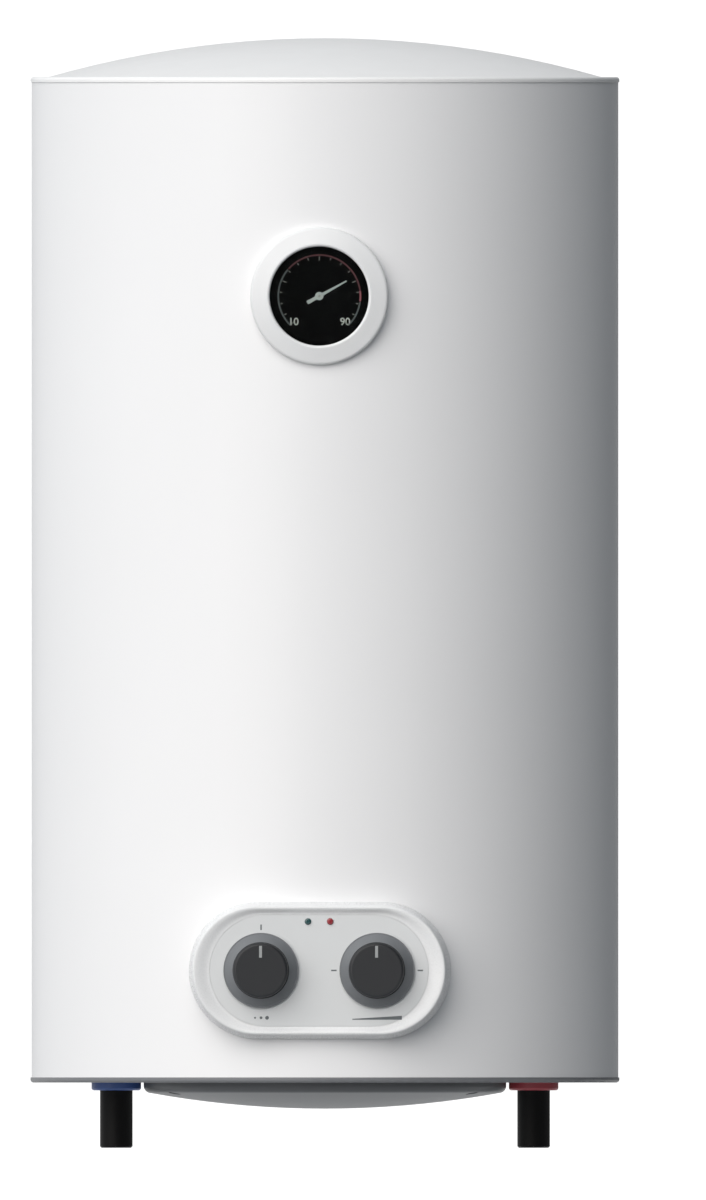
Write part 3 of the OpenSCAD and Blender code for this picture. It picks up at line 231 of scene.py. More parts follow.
class HeaterStage(bpy.types.PropertyGroup):
    """Camera, light and floor"""

    azimuth: angle("Azimuth", 1.1, "Camera's turn to the right")
    frame_h: length("Frame height", 920.0, "Height that the picture shows")
    aside: length("Aside", 21.5, "How far the picture's middle lies right of the tank's axis")
    above: length("Above", 366.0, "Height of the picture's middle over the casing's lower edge")
    distance: length("Distance", 4000.0, "Distance of the camera from the tank's axis")
    key_power: brightness("Key", 2.39, "Strength of the soft key light")
    key_spread: angle("Key spread", 68, "Angle that the key light fills")
    key_turn: angle("Key turn", 28, "Turn of the key light to the left")
    key_rise: angle("Key rise", 30, "Height of the key light")
    key_tone: colour("Key tone", "FFF9F4", "Tone of the key light, a little warm")
    fill_tone: colour("Fill tone", "EDF6FF", "Tone of the room's fill, a little cool")
    fill_left: brightness("Left fill", 0.6, "Brightness of the room on the left")
    fill_right: brightness("Right fill", 0.0, "Brightness of the room on the right")
    fill_top: brightness("Top fill", 0.2, "Brightness of the room overhead")
    fill_front: brightness("Front fill", 0.49, "Brightness of the room ahead")
    fill_back: brightness("Back fill", 0.9, "Brightness of the room behind")
    gloss_dim: brightness("Gloss dim", 0.06, "Darkest part of the room that gloss and glass show")
    floor_drop: length("Floor drop", 600.0, "Distance of the floor below the pieces")
    floor_seen: colour("Floor", "F0F0F0", "Floor as the eye sees it")
    floor_near: colour("Near floor", "C8C8C8", "Floor below the pieces, as it lights them")
    floor_far: colour("Far floor", "606060", "Floor farther off, as it lights the pieces")


def looks():
    return bpy.context.scene.heater_colours


# Materials

# How far grain and streaks let the roughness stray
MOULDED_SPREAD = 0.05
DRAWN_SPREAD = 0.08


def add_node(tree, kind, inputs=None, **settings):
    """Adds a node, sets its own settings, and sets or links its inputs."""
    node = tree.nodes.new(kind)
    for name, value in settings.items():
        setattr(node, name, value)
    for socket, value in (inputs or {}).items():
        if isinstance(value, bpy.types.NodeSocket):
            tree.links.new(value, node.inputs[socket])
        else:
            node.inputs[socket].default_value = value
    return node


def new_material(name, sockets):
    """Material with one shader whose plain values are set on its own sockets."""
    material = bpy.data.materials.new(name)
    material.use_nodes = True
    tree = material.node_tree
    tree.nodes.clear()
    shader = add_node(tree, "ShaderNodeBsdfPrincipled", sockets)
    add_node(tree, "ShaderNodeOutputMaterial", {"Surface": shader.outputs["BSDF"]})
    where = add_node(tree, "ShaderNodeTexCoord").outputs["Object"]
    return material, tree, shader, where


def per_metre(millimetres):
    """Texture scale at which one cell is that many millimetres wide."""
    return 1 / (millimetres * MM)


def shade_of(rgba, share):
    return [c * share for c in rgba[:3]] + [1.0]


def around(value, spread):
    return value - spread, value + spread


def vary(tree, shader, pattern, tones=None, roughness=None, depth_mm=None):
    """Lets a pattern vary a surface: its colour, its roughness and its height in millimetres."""
    if tones:
        mix = add_node(
            tree, "ShaderNodeMix", {"Factor": pattern, "A": tones[0], "B": tones[1]},
            data_type="RGBA", clamp_factor=True,
        )
        tree.links.new(mix.outputs["Result"], shader.inputs["Base Color"])
    if roughness:
        spread = add_node(
            tree, "ShaderNodeMapRange",
            {"Value": pattern, "To Min": roughness[0], "To Max": roughness[1]},
        )
        tree.links.new(spread.outputs["Result"], shader.inputs["Roughness"])
    if depth_mm:
        bump = add_node(
            tree, "ShaderNodeBump", {"Height": pattern, "Distance": depth_mm * MM, "Strength": 1.0}
        )
        tree.links.new(bump.outputs["Normal"], shader.inputs["Normal"])


def stoved_enamel(name, rgba):
    """Enamel sprayed on sheet steel and baked: an even gloss with a faint orange peel."""
    material, tree, shader, where = new_material(name, {
        "Roughness": 0.3, "IOR": 1.5, "Specular IOR Level": 0.22,
        "Coat Weight": 0.08, "Coat Roughness": 0.12,
    })
    # Orange peel is 2 to 3 mm wide and a few micrometres deep
    peel = add_node(
        tree, "ShaderNodeTexNoise", {"Vector": where, "Scale": per_metre(2.6), "Detail": 1.0}
    )
    vary(tree, shader, peel.outputs["Fac"], depth_mm=0.004)
    # The baked film varies a little over a hand's width
    film = add_node(
        tree, "ShaderNodeTexNoise", {"Vector": where, "Scale": per_metre(120), "Detail": 2.0}
    )
    vary(
        tree, shader, film.outputs["Fac"],
        tones=(shade_of(rgba, 0.975), rgba), roughness=(0.26, 0.34),
    )
    return material


def moulded_plastic(name, rgba, roughness, grain_mm, depth_mm, specular=0.5):
    """Injection-moulded plastic: the tool's spark-eroded grain, and a faint flow in the colour."""
    material, tree, shader, where = new_material(
        name, {"Roughness": roughness, "IOR": 1.53, "Specular IOR Level": specular}
    )
    # Spark erosion leaves pits of about 0.1 mm, drawn wider here so that they show
    erosion = add_node(
        tree, "ShaderNodeTexNoise", {"Vector": where, "Scale": per_metre(grain_mm), "Detail": 3.0}
    )
    vary(
        tree, shader, erosion.outputs["Fac"],
        roughness=around(roughness, MOULDED_SPREAD), depth_mm=depth_mm,
    )
    # Melt flow shows as bands some 30 mm wide
    flow = add_node(
        tree, "ShaderNodeTexNoise",
        {"Vector": where, "Scale": per_metre(30), "Detail": 2.0, "Distortion": 0.6},
    )
    vary(tree, shader, flow.outputs["Fac"], tones=(shade_of(rgba, 0.95), rgba))
    return material


def knob_with_painted_lit_skirt(name, cap, lit_skirt_tone):
    """Satin ABS knob: a charcoal cap, and a sloping skirt in a lighter grey that is painted light,
    standing in for the light its slope catches, so that it reads as a ring.
    """
    roughness, cap_edge, blend = 0.42, 2.6 * MM, 0.4 * MM
    material, tree, shader, where = new_material(
        name, {"Roughness": roughness, "IOR": 1.53, "Specular IOR Level": 0.3}
    )
    knob = centre_of("thermostat_knob")
    cap_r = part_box("thermostat_mark")[1].z - knob.z + cap_edge
    # The two knobs mirror each other about the middle, so one pattern serves both
    spot = where
    for operation, other in (
        ("ABSOLUTE", None), ("SUBTRACT", (knob.x, 0, -knob.z)), ("MULTIPLY", (1, 0, 1)),
    ):
        terms = {0: spot} if other is None else {0: spot, 1: other}
        step = add_node(tree, "ShaderNodeVectorMath", terms, operation=operation)
        spot = step.outputs["Vector"]
    radius = add_node(tree, "ShaderNodeVectorMath", {0: spot}, operation="LENGTH")
    ring = add_node(
        tree, "ShaderNodeMapRange",
        {"Value": radius.outputs["Value"], "From Min": cap_r, "From Max": cap_r + blend},
    )
    # Painted light: outside the cap's edge the knob takes the lighter skirt tone, which stands in for
    # the light that the sloping skirt catches
    vary(tree, shader, ring.outputs["Result"], tones=(cap, lit_skirt_tone))
    # Spark-eroded grain, drawn 0.6 mm wide so that it shows
    erosion = add_node(
        tree, "ShaderNodeTexNoise", {"Vector": where, "Scale": per_metre(0.6), "Detail": 3.0}
    )
    vary(
        tree, shader, erosion.outputs["Fac"],
        roughness=around(roughness, MOULDED_SPREAD), depth_mm=0.012,
    )
    return material


def clear_lens(name, rgba):
    """Tinted clear polycarbonate: a dark glossy bead with fine optic ribs inside."""
    material, tree, shader, where = new_material(
        name, {"Roughness": 0.12, "IOR": 1.58, "Transmission Weight": 0.35, "Coat Weight": 0.3}
    )
    ribs = add_node(
        tree, "ShaderNodeTexWave", {"Vector": where, "Scale": per_metre(4), "Distortion": 0.2},
        wave_type="BANDS", bands_direction="X",
    )
    vary(tree, shader, ribs.outputs["Fac"], tones=(shade_of(rgba, 0.55), rgba))
    return material


def window_glass(name, rgba):
    """Float glass with a light wipe of dust: clear, with a soft reflection."""
    material, tree, shader, where = new_material(name, {
        "Base Color": rgba, "Roughness": 0.03, "IOR": 1.5, "Specular IOR Level": 0.08,
        "Transmission Weight": 1.0,
    })
    dust = add_node(
        tree, "ShaderNodeTexNoise", {"Vector": where, "Scale": per_metre(14), "Detail": 4.0}
    )
    vary(tree, shader, dust.outputs["Fac"], roughness=(0.01, 0.06))
    return material


def satin_paint(name, rgba, roughness, specular=0.25):
    """Thin satin paint or screen ink: matt, with the fine tooth of its pigment."""
    material, tree, shader, where = new_material(
        name, {"Roughness": roughness, "Specular IOR Level": specular}
    )
    # Pigment is far finer than a pixel, so its tooth is drawn 0.5 mm wide
    tooth = add_node(
        tree, "ShaderNodeTexNoise", {"Vector": where, "Scale": per_metre(0.5), "Detail": 2.0}
    )
    vary(tree, shader, tooth.outputs["Fac"], tones=(shade_of(rgba, 0.88), rgba), depth_mm=0.004)
    return material


def spangled_zinc(name, rgba):
    """Hot-dip galvanised sheet: zinc crystals some 9 mm wide, each with its own tone and gloss."""
    material, tree, shader, where = new_material(name, {"Metallic": 1.0, "Roughness": 0.42})
    crystals = add_node(tree, "ShaderNodeTexVoronoi", {"Vector": where, "Scale": per_metre(9)})
    tone = add_node(tree, "ShaderNodeSeparateColor", {"Color": crystals.outputs["Color"]})
    vary(tree, shader, tone.outputs["Red"], tones=(shade_of(rgba, 0.72), rgba))
    vary(tree, shader, tone.outputs["Green"], roughness=(0.34, 0.52))
    vary(tree, shader, crystals.outputs["Distance"], depth_mm=0.01)
    return material


def drawn_metal(name, rgba, roughness, streak_mm):
    """Plated or drawn metal: fine streaks along its length."""
    material, tree, shader, where = new_material(name, {"Metallic": 1.0, "Roughness": roughness})
    # Draw lines are finer than a pixel, and drawn wider here so that they show
    stretch = add_node(
        tree, "ShaderNodeMapping", {"Vector": where, "Scale": (1.0, 1.0, 0.08)}, vector_type="POINT"
    )
    streaks = add_node(
        tree, "ShaderNodeTexNoise",
        {"Vector": stretch.outputs["Vector"], "Scale": per_metre(streak_mm), "Detail": 3.0},
    )
    vary(
        tree, shader, streaks.outputs["Fac"],
        tones=(shade_of(rgba, 0.8), rgba), roughness=around(roughness, DRAWN_SPREAD),
    )
    return material


def cell_foam(name, rgba):
    """Polyurethane foamed in place: pale yellow, with open cells about 2 mm wide."""
    material, tree, shader, where = new_material(
        name, {"Roughness": 0.95, "Specular IOR Level": 0.1}
    )
    cells = add_node(tree, "ShaderNodeTexVoronoi", {"Vector": where, "Scale": per_metre(2)})
    vary(tree, shader, cells.outputs["Distance"], tones=(shade_of(rgba, 0.7), rgba), depth_mm=0.6)
    return material


def soft_rubber(name, rgba):
    """Moulded rubber or soft PVC: dull, with a bloom in soft patches."""
    material, tree, shader, where = new_material(
        name, {"Roughness": 0.75, "Specular IOR Level": 0.3}
    )
    bloom = add_node(
        tree, "ShaderNodeTexNoise", {"Vector": where, "Scale": per_metre(6), "Detail": 4.0}
    )
    vary(tree, shader, bloom.outputs["Fac"], tones=(shade_of(rgba, 0.7), rgba), depth_mm=0.02)
    return material


def coat(material, *nodes):
    """Gives CAD nodes a material."""
    for node in nodes:
        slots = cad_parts[node].data.materials
        slots.clear()
        slots.append(material)


# Meshes

# Steps of the curves, and the distance within which two points are one
ARC_STEPS = 48
DISC_STEPS = 20
TURN_STEPS = 40
HEAD_STEPS = 8
WELD = 0.001 * MM


def piece(name, mesh, material, body="heater", smooth_deg=None):
    """Makes a piece of a mesh that is drawn in the frame, and lets it ride on a body."""
    mesh.materials.append(material)
    if smooth_deg is not None:
        mesh.polygons.foreach_set("use_smooth", [True] * len(mesh.polygons))
        mesh.set_sharp_from_angle(angle=math.radians(smooth_deg))
    made = bpy.data.objects.new(name, mesh)
    bpy.context.scene.collection.objects.link(made)
    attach(made, body)
    return made


def mesh_of(name, form, turn_out=True):
    """Mesh of a drawn form, with its faces turned outward unless they are already right."""
    if turn_out:
        bmesh.ops.recalc_face_normals(form, faces=form.faces)
    mesh = bpy.data.meshes.new(name)
    form.to_mesh(mesh)
    form.free()
    return mesh


def join_rings(form, here, after):
    """Adds the band of faces between two rings of points."""
    for i in range(len(here)):
        j = (i + 1) % len(here)
        form.faces.new((here[i], here[j], after[j], after[i]))


def prisms(name, outlines, face_y, thickness):
    """Thin closed prisms on a face that looks along -Y, one for each outline of (x, z) points."""
    form = bmesh.new()
    for outline in outlines:
        back = [form.verts.new((x, face_y, z)) for x, z in outline]
        front = [form.verts.new((x, face_y - thickness, z)) for x, z in outline]
        form.faces.new(front)
        form.faces.new(reversed(back))
        join_rings(form, back, front)
    return mesh_of(name, form)


def clock(middle, radius, turn):
    """Point at an angle clockwise from twelve o'clock, seen from the front."""
    return middle.x + radius * math.sin(turn), middle.z + radius * math.cos(turn)


def arc(middle, r0, r1, a0, a1):
    """Outline of a band of a ring."""
    turns = [a0 + (a1 - a0) * i / ARC_STEPS for i in range(ARC_STEPS + 1)]
    return [clock(middle, r1, a) for a in turns] + [clock(middle, r0, a) for a in reversed(turns)]


def ray(middle, r0, r1, turn, width):
    """Outline of a straight mark that points away from a middle."""
    across = Vector((math.cos(turn), -math.sin(turn))) * width / 2
    near, far = (Vector(clock(middle, r, turn)) for r in (r0, r1))
    return [tuple(p) for p in (near - across, far - across, far + across, near + across)]


def disc(x, z, radius):
    turns = [2 * math.pi / DISC_STEPS * i for i in range(DISC_STEPS)]
    return [(x + radius * math.sin(a), z + radius * math.cos(a)) for a in turns]


def evaluated_mesh(holder):
    """Mesh of an object with its modifiers or its font applied."""
    bpy.context.view_layer.update()
    shapes = bpy.context.evaluated_depsgraph_get()
    return bpy.data.meshes.new_from_object(holder.evaluated_get(shapes))


def numerals(name, words, height, weight, face_y, thickness):
    """Mesh of plain numbers on a face that looks along -Y, from (text, x, z) entries."""
    form = bmesh.new()
    upright = Matrix.Rotation(math.radians(90), 4, "X")
    for text, x, z in words:
        font = bpy.data.curves.new(name, "FONT")
        font.body = text
        font.size = height
        font.align_x, font.align_y = "CENTER", "CENTER"
        font.extrude = thickness / 2
        font.offset = weight
        holder = bpy.data.objects.new(name, font)
        bpy.context.scene.collection.objects.link(holder)
        letters = evaluated_mesh(holder)
        letters.transform(Matrix.Translation((x, face_y - thickness / 2, z)) @ upright)
        form.from_mesh(letters)
        bpy.data.objects.remove(holder)
        bpy.data.curves.remove(font)
        bpy.data.meshes.remove(letters)
    return mesh_of(name, form, turn_out=False)


def closed_loft(name, sections):
    """Ring of closed sections, joined to each other all round."""
    form = bmesh.new()
    rings = [[form.verts.new(point) for point in section] for section in sections]
    for here, after in zip(rings, rings[1:] + rings[:1]):
        join_rings(form, here, after)
    return mesh_of(name, form)


def loose_parts(node):
    """Lowest and highest corner of each separate solid of a CAD node."""
    form = bmesh.new()
    form.from_mesh(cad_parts[node].data)
    bmesh.ops.remove_doubles(form, verts=form.verts, dist=WELD)
    left, boxes = set(form.verts), []
    while left:
        reached, edge = set(), [left.pop()]
        while edge:
            vert = edge.pop()
            reached.add(vert)
            edge += [v for e in vert.link_edges for v in e.verts if v in left]
            left.difference_update(edge)
        corners = [[f(v.co[i] for v in reached) for i in range(3)] for f in (min, max)]
        boxes.append(tuple(Vector(c) for c in corners))
    form.free()
    return sorted(boxes, key=lambda box: tuple(box[0]))


def turned(form, middle, profile):
    """Adds a turning about an upright axis: its (radius, height) points begin and end on it."""
    rings = []
    for radius, height in profile:
        turns = [2 * math.pi * i / TURN_STEPS for i in range(TURN_STEPS if radius else 1)]
        spots = [(radius * math.cos(a), radius * math.sin(a)) for a in turns]
        rings.append([form.verts.new((middle.x + x, middle.y + y, height)) for x, y in spots])
    for here, after in zip(rings, rings[1:]):
        for i in range(TURN_STEPS):
            j = (i + 1) % TURN_STEPS
            loop = ((here, i), (here, j), (after, j), (after, i))
            corners = [ring[k % len(ring)] for ring, k in loop]
            form.faces.new(list(dict.fromkeys(corners)))


def cross_prism(form, middle, span, width, low, high):
    """Adds an upright prism with a cross for its section."""
    far, near = span / 2, width / 2
    corner = [(far, near), (near, near), (near, far)]
    outline = []
    for quarter in range(4):
        outline += [Matrix.Rotation(quarter * math.pi / 2, 2) @ Vector(p) for p in corner]
    bottom, top = (
        [form.verts.new((middle.x + p.x, middle.y + p.y, z)) for p in outline] for z in (low, high)
    )
    form.faces.new(reversed(bottom))
    form.faces.new(top)
    join_rings(form, bottom, top)


def cut(mesh, tool):
    """Mesh that is left when a tool's mesh is cut away."""
    holders = [bpy.data.objects.new(m.name, m) for m in (mesh, tool)]
    for holder in holders:
        bpy.context.scene.collection.objects.link(holder)
    boolean = holders[0].modifiers.new("recess", "BOOLEAN")
    boolean.operation, boolean.solver, boolean.object = "DIFFERENCE", "EXACT", holders[1]
    made = evaluated_mesh(holders[0])
    for holder in holders:
        bpy.data.objects.remove(holder)
    return made


# Panel rim: the same loft as the CAD, in finer steps

RIM_ARC_STEPS = 72
RIM_SIDE_STEPS = 24
FLANK_STEPS = 18
SLOPE_STEPS = 12


def rim_stations():
    """Stations round the rim: share of the half length, and direction out of the end's centre."""
    arcs, sides = range(RIM_ARC_STEPS), range(RIM_SIDE_STEPS)
    return (
        [(1, math.pi * (i / RIM_ARC_STEPS - 0.5)) for i in arcs]
        + [(1 - 2 * i / RIM_SIDE_STEPS, math.pi / 2) for i in sides]
        + [(-1, math.pi * (i / RIM_ARC_STEPS + 0.5)) for i in arcs]
        + [(-1 + 2 * i / RIM_SIDE_STEPS, math.pi * 1.5) for i in sides]
    )


def rim_section(rim, share, turn):
    """Closed section: up the flank, over the crest, down to the fascia, and back inside."""
    crest_r = rim.crest_h / 2
    crest_a = rim.crest_w / 2 - crest_r
    inner_r = crest_r - rim.side
    inner_a = rim.crest_w / 2 - rim.end - inner_r
    crest_out = CASING_R + rim.proud
    seat_out = crest_out - rim.drop - rim.fascia_t

    def at(a, r, out=None):
        x, up = share * a + r * math.cos(turn), r * math.sin(turn)
        if out is None:
            out = math.sqrt((CASING_R + rim.gap) ** 2 - x * x)
        return Vector((AXIS.x + x, AXIS.y - out, PANEL.z + up))

    foot_out = AXIS.y - at(crest_a, crest_r + rim.flank).y
    section = []
    for i in range(FLANK_STEPS, -1, -1):
        t = math.pi / 2 * i / FLANK_STEPS
        out = crest_out + (foot_out - crest_out) * (1 - math.cos(t))
        section.append(at(crest_a, crest_r + rim.flank * math.sin(t), out))
    for i in range(1, SLOPE_STEPS + 1):
        t = i / SLOPE_STEPS
        out = crest_out - rim.drop * (1 - math.cos(math.pi * t)) / 2
        a, r = crest_a + (inner_a - crest_a) * t, crest_r + (inner_r - crest_r) * t
        section.append(at(a, r, out))
    section += [
        at(inner_a, inner_r, seat_out),
        at(inner_a, inner_r - rim.ledge_w, seat_out),
        at(inner_a, inner_r - rim.ledge_w, seat_out - rim.ledge_t),
        at(crest_a, crest_r - rim.wall, seat_out - rim.ledge_t),
        at(crest_a, crest_r + rim.flank - rim.wall),
    ]
    return section


# Operators

class HEATER_OT_casing(bpy.types.Operator):
    """Finish the casing, its caps and the service cover"""

    bl_idname = "heater.casing"
    bl_label = "Casing and caps"

    def execute(self, context):
        coat(stoved_enamel("Stoved enamel", looks().enamel), "outer_casing")
        gloss = moulded_plastic(
            "Gloss ABS cap", looks().cap,
            roughness=0.32, grain_mm=0.9, depth_mm=0.004, specular=0.4,
        )
        coat(gloss, "top_cap")
        satin = moulded_plastic(
            "Satin ABS base", looks().base, roughness=0.45, grain_mm=0.8, depth_mm=0.01
        )
        coat(satin, "bottom_cap")
        lid = moulded_plastic(
            "Satin ABS cover", looks().cover,
            roughness=0.44, grain_mm=0.8, depth_mm=0.008, specular=0.3,
        )
        coat(lid, "service_cover")
        return {"FINISHED"}


class HEATER_OT_panel(bpy.types.Operator):
    """Make the panel's rim and finish the fascia and the lamps"""

    bl_idname = "heater.panel"
    bl_label = "Control panel"

    def execute(self, context):
        gloss = moulded_plastic(
            "Gloss ABS rim", looks().mouldings,
            roughness=0.28, grain_mm=0.9, depth_mm=0.003, specular=0.45,
        )
        rim = context.scene.heater_panel
        mesh = closed_loft("panel_rim_moulding", [rim_section(rim, *st) for st in rim_stations()])
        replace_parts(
            piece("panel_rim_moulding", mesh, gloss, smooth_deg=50), "panel_rim"
        )
        satin = moulded_plastic(
            "Satin ABS fascia", looks().fascia, roughness=0.42, grain_mm=0.7, depth_mm=0.012
        )
        coat(satin, "panel_fascia")
        coat(clear_lens("Green polycarbonate", looks().power_lens), "power_lamp")
        coat(clear_lens("Red polycarbonate", looks().heating_lens), "heating_lamp")
        return {"FINISHED"}


class HEATER_OT_panel_prints(bpy.types.Operator):
    """Print the plain marks round the knobs"""

    bl_idname = "heater.panel_prints"
    bl_label = "Panel prints"

    def execute(self, context):
        sizes = context.scene.heater_prints
        selector, control = centre_of("selector_knob"), centre_of("thermostat_knob")
        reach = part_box("selector_knob")[1].x - selector.x
        start = reach + sizes.mark_gap
        outlines = [
            ray(knob, start, start + sizes.mark_len, math.radians(degrees), sizes.mark_w)
            for knob, degrees in ((selector, 0), (control, -90), (control, 90))
        ]
        drop = reach + sizes.below
        for step in (-1, 0, 1):
            x = selector.x + step * sizes.dot_pitch
            outlines.append(disc(x, selector.z - drop, sizes.dot_r + step * sizes.dot_step))
        left, right = control.x - sizes.wedge_half, control.x + sizes.wedge_half
        low = control.z - drop - sizes.wedge_thick
        outlines.append([
            (left, low), (right, low),
            (right, low + 2 * sizes.wedge_thick), (left, low + 2 * sizes.wedge_thin),
        ])
        ink = satin_paint("Screen ink", looks().panel_ink, roughness=0.55)
        mesh = prisms("panel_prints", outlines, front_of("panel_fascia"), sizes.ink_t)
        piece("panel_prints", mesh, ink)
        return {"FINISHED"}


class HEATER_OT_knobs(bpy.types.Operator):
    """Finish the knobs and their marks"""

    bl_idname = "heater.knobs"
    bl_label = "Knobs"

    def execute(self, context):
        knob_paint_with_lit_skirt = knob_with_painted_lit_skirt("Satin ABS knob", looks().knobs, looks().painted_lit_skirts)
        coat(knob_paint_with_lit_skirt, "selector_knob", "thermostat_knob")
        white = moulded_plastic(
            "White ABS mark", looks().marks, roughness=0.45, grain_mm=0.6, depth_mm=0.004
        )
        coat(white, "selector_mark", "thermostat_mark")
        return {"FINISHED"}


class HEATER_OT_thermometer(bpy.types.Operator):
    """Finish the thermometer and print its scale"""

    bl_idname = "heater.thermometer"
    bl_label = "Thermometer"

    INK_ROUGHNESS = 0.5
    LONG_EVERY = 4
    SHORT_SHARE = 0.6

    def execute(self, context):
        sizes = context.scene.heater_prints
        face = front_of("thermometer_dial")
        gloss = moulded_plastic(
            "Gloss ABS bezel", looks().mouldings,
            roughness=0.3, grain_mm=0.9, depth_mm=0.003, specular=0.45,
        )
        coat(gloss, "thermometer_bezel")
        coat(window_glass("Float glass", looks().glass), "thermometer_glass")
        black = satin_paint("Black dial paint", looks().dial, roughness=0.8, specular=0.02)
        coat(black, "thermometer_dial")
        white = satin_paint("White pointer paint", looks().pointer, roughness=0.45)
        coat(white, "thermometer_pointer")
        nylon = moulded_plastic(
            "Black case nylon", looks().black, roughness=0.5, grain_mm=0.8, depth_mm=0.01
        )
        coat(nylon, "thermometer_case")
        self.print_arcs(sizes, face)
        self.print_ticks(sizes, face)
        self.print_numbers(sizes, face)
        return {"FINISHED"}

    def print_arcs(self, sizes, face):
        """The scale's arc in four inks, each from one share of the half sweep to another."""
        r0, r1 = sizes.scale_r - sizes.scale_w / 2, sizes.scale_r + sizes.scale_w / 2
        parts = (
            ("cool_arc", looks().cool_arc, -1.0, -0.37), ("warm_arc", looks().warm_arc, -0.36, 0.6),
            ("hot_arc", looks().hot_arc, 0.61, 0.72), ("end_arc", looks().cool_arc, 0.73, 1.0),
        )
        for name, rgba, start, end in parts:
            band = arc(DIAL, r0, r1, start * sizes.sweep, end * sizes.sweep)
            ink = satin_paint(f"Dial ink {name}", rgba, self.INK_ROUGHNESS)
            piece(f"dial_{name}", prisms(name, [band], face, sizes.ink_t), ink)

    def print_ticks(self, sizes, face):
        outer = sizes.scale_r - sizes.scale_w / 2 - sizes.tick_gap
        marks = []
        for i in range(sizes.ticks + 1):
            turn = sizes.sweep * (2 * i / sizes.ticks - 1)
            reach = sizes.tick_len * (1 if i % self.LONG_EVERY == 0 else self.SHORT_SHARE)
            marks.append(ray(DIAL, outer - reach, outer, turn, sizes.tick_w))
        ink = satin_paint("Grey dial ink", looks().scale, self.INK_ROUGHNESS)
        piece("dial_ticks", prisms("dial_ticks", marks, face, sizes.ink_t), ink)

    def print_numbers(self, sizes, face):
        words = [
            (sizes.low_number, *clock(DIAL, sizes.number_r, -sizes.sweep)),
            (sizes.high_number, *clock(DIAL, sizes.number_r, sizes.sweep)),
        ]
        mesh = numerals(
            "dial_numbers", words, sizes.number_h, sizes.number_weight, face, sizes.ink_t
        )
        ink = satin_paint("White dial ink", looks().numbers, self.INK_ROUGHNESS)
        piece("dial_numbers", mesh, ink)


class HEATER_OT_connections(bpy.types.Operator):
    """Finish the water connections and the cable gland"""

    bl_idname = "heater.connections"
    bl_label = "Connections"

    def execute(self, context):
        nylon = moulded_plastic(
            "Black nylon", looks().black,
            roughness=0.5, grain_mm=1.1, depth_mm=0.02, specular=0.12,
        )
        coat(nylon, "cold_sleeve", "hot_sleeve", "cable_gland", "gland_nut", "power_switch")
        for name, rgba, node in (
            ("Blue polypropylene", looks().cold, "cold_collar"),
            ("Red polypropylene", looks().hot, "hot_collar"),
        ):
            coat(moulded_plastic(name, rgba, roughness=0.38, grain_mm=0.8, depth_mm=0.008), node)
        return {"FINISHED"}


class HEATER_OT_brackets(bpy.types.Operator):
    """Finish the wall brackets and the fasteners"""

    bl_idname = "heater.brackets"
    bl_label = "Brackets and fasteners"

    def execute(self, context):
        coat(
            spangled_zinc("Galvanised sheet", looks().galvanised),
            "upper_bracket", "lower_bracket", "backing_plates", "panel_chassis",
        )
        coat(
            drawn_metal("Zinc plated steel", looks().zinc, roughness=0.35, streak_mm=0.6),
            "cover_screws", "bracket_bolts", "flange_bolts", "chassis_screws", "anode_nut",
            "selector_shaft", "thermostat_shaft", "pointer_arbor",
        )
        return {"FINISHED"}


class HEATER_OT_cover_screws(bpy.types.Operator):
    """Make the pan head screws of the service cover, with their cross recess"""

    bl_idname = "heater.cover_screws"
    bl_label = "Cover screws"

    def execute(self, context):
        sizes = context.scene.heater_screws
        bend_r = sizes.head_round
        bends = [math.pi / 2 * i / HEAD_STEPS for i in range(HEAD_STEPS + 1)]
        turning, tool = bmesh.new(), bmesh.new()
        for low, high in loose_parts("cover_screws"):
            middle, head_r = (low + high) / 2, (high.x - low.x) / 2
            rim = [
                (head_r - bend_r * (1 - math.sin(a)), low.z + bend_r * (1 - math.cos(a)))
                for a in bends
            ]
            seat = low.z + sizes.head_t
            shank = [(head_r, seat), (sizes.shank_r, seat), (sizes.shank_r, high.z)]
            turned(turning, middle, [(0, low.z), *rim, *shank, (0, high.z)])
            ends = low.z - sizes.deep, low.z + sizes.deep
            cross_prism(tool, middle, sizes.arm_l, sizes.arm_w, *ends)
        mesh = cut(mesh_of("cross_screws", turning), mesh_of("cross_recess", tool))
        zinc = drawn_metal("Zinc plated screw", looks().zinc, roughness=0.35, streak_mm=0.6)
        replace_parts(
            piece("cross_screws", mesh, zinc, smooth_deg=40), "cover_screws"
        )
        return {"FINISHED"}


class HEATER_OT_inside(bpy.types.Operator):
    """Finish the pieces inside the casing"""

    bl_idname = "heater.inside"
    bl_label = "Inner pieces"

    def execute(self, context):
        coat(
            stoved_enamel("Blue vitreous enamel", looks().vitreous),
            "tank_shell", "tank_top_dish", "tank_bottom_dish", "flange_neck",
        )
        coat(
            drawn_metal("Pickled stainless steel", looks().stainless, roughness=0.4, streak_mm=0.8),
            "flange_plate", "sensor_pockets", "hot_standpipe", "cold_nipple", "hot_nipple",
        )
        coat(
            drawn_metal("Nickel alloy", looks().nickel, roughness=0.45, streak_mm=0.8),
            "main_element", "boost_element",
        )
        coat(
            drawn_metal("Cast magnesium", looks().magnesium, roughness=0.6, streak_mm=2.0),
            "anode_rod",
        )
        coat(
            drawn_metal("Brass", looks().brass, roughness=0.35, streak_mm=0.6),
            "thermometer_stem", "bimetal_coil", "thermostat_capillary",
        )
        ivory = moulded_plastic(
            "Ivory plastic", looks().ivory, roughness=0.5, grain_mm=0.8, depth_mm=0.01
        )
        coat(ivory, "terminal_block", "inlet_diffuser", "safety_cutout", "thermostat")
        red = moulded_plastic(
            "Red button plastic", looks().button, roughness=0.4, grain_mm=0.8, depth_mm=0.006
        )
        coat(red, "reset_button")
        coat(soft_rubber("Seal rubber", looks().rubber), "flange_gasket", "sleeve_washers")
        coat(soft_rubber("Wire PVC", looks().wire), "wiring_loom")
        coat(cell_foam("Polyurethane foam", looks().foam), "insulation_foam")
        return {"FINISHED"}


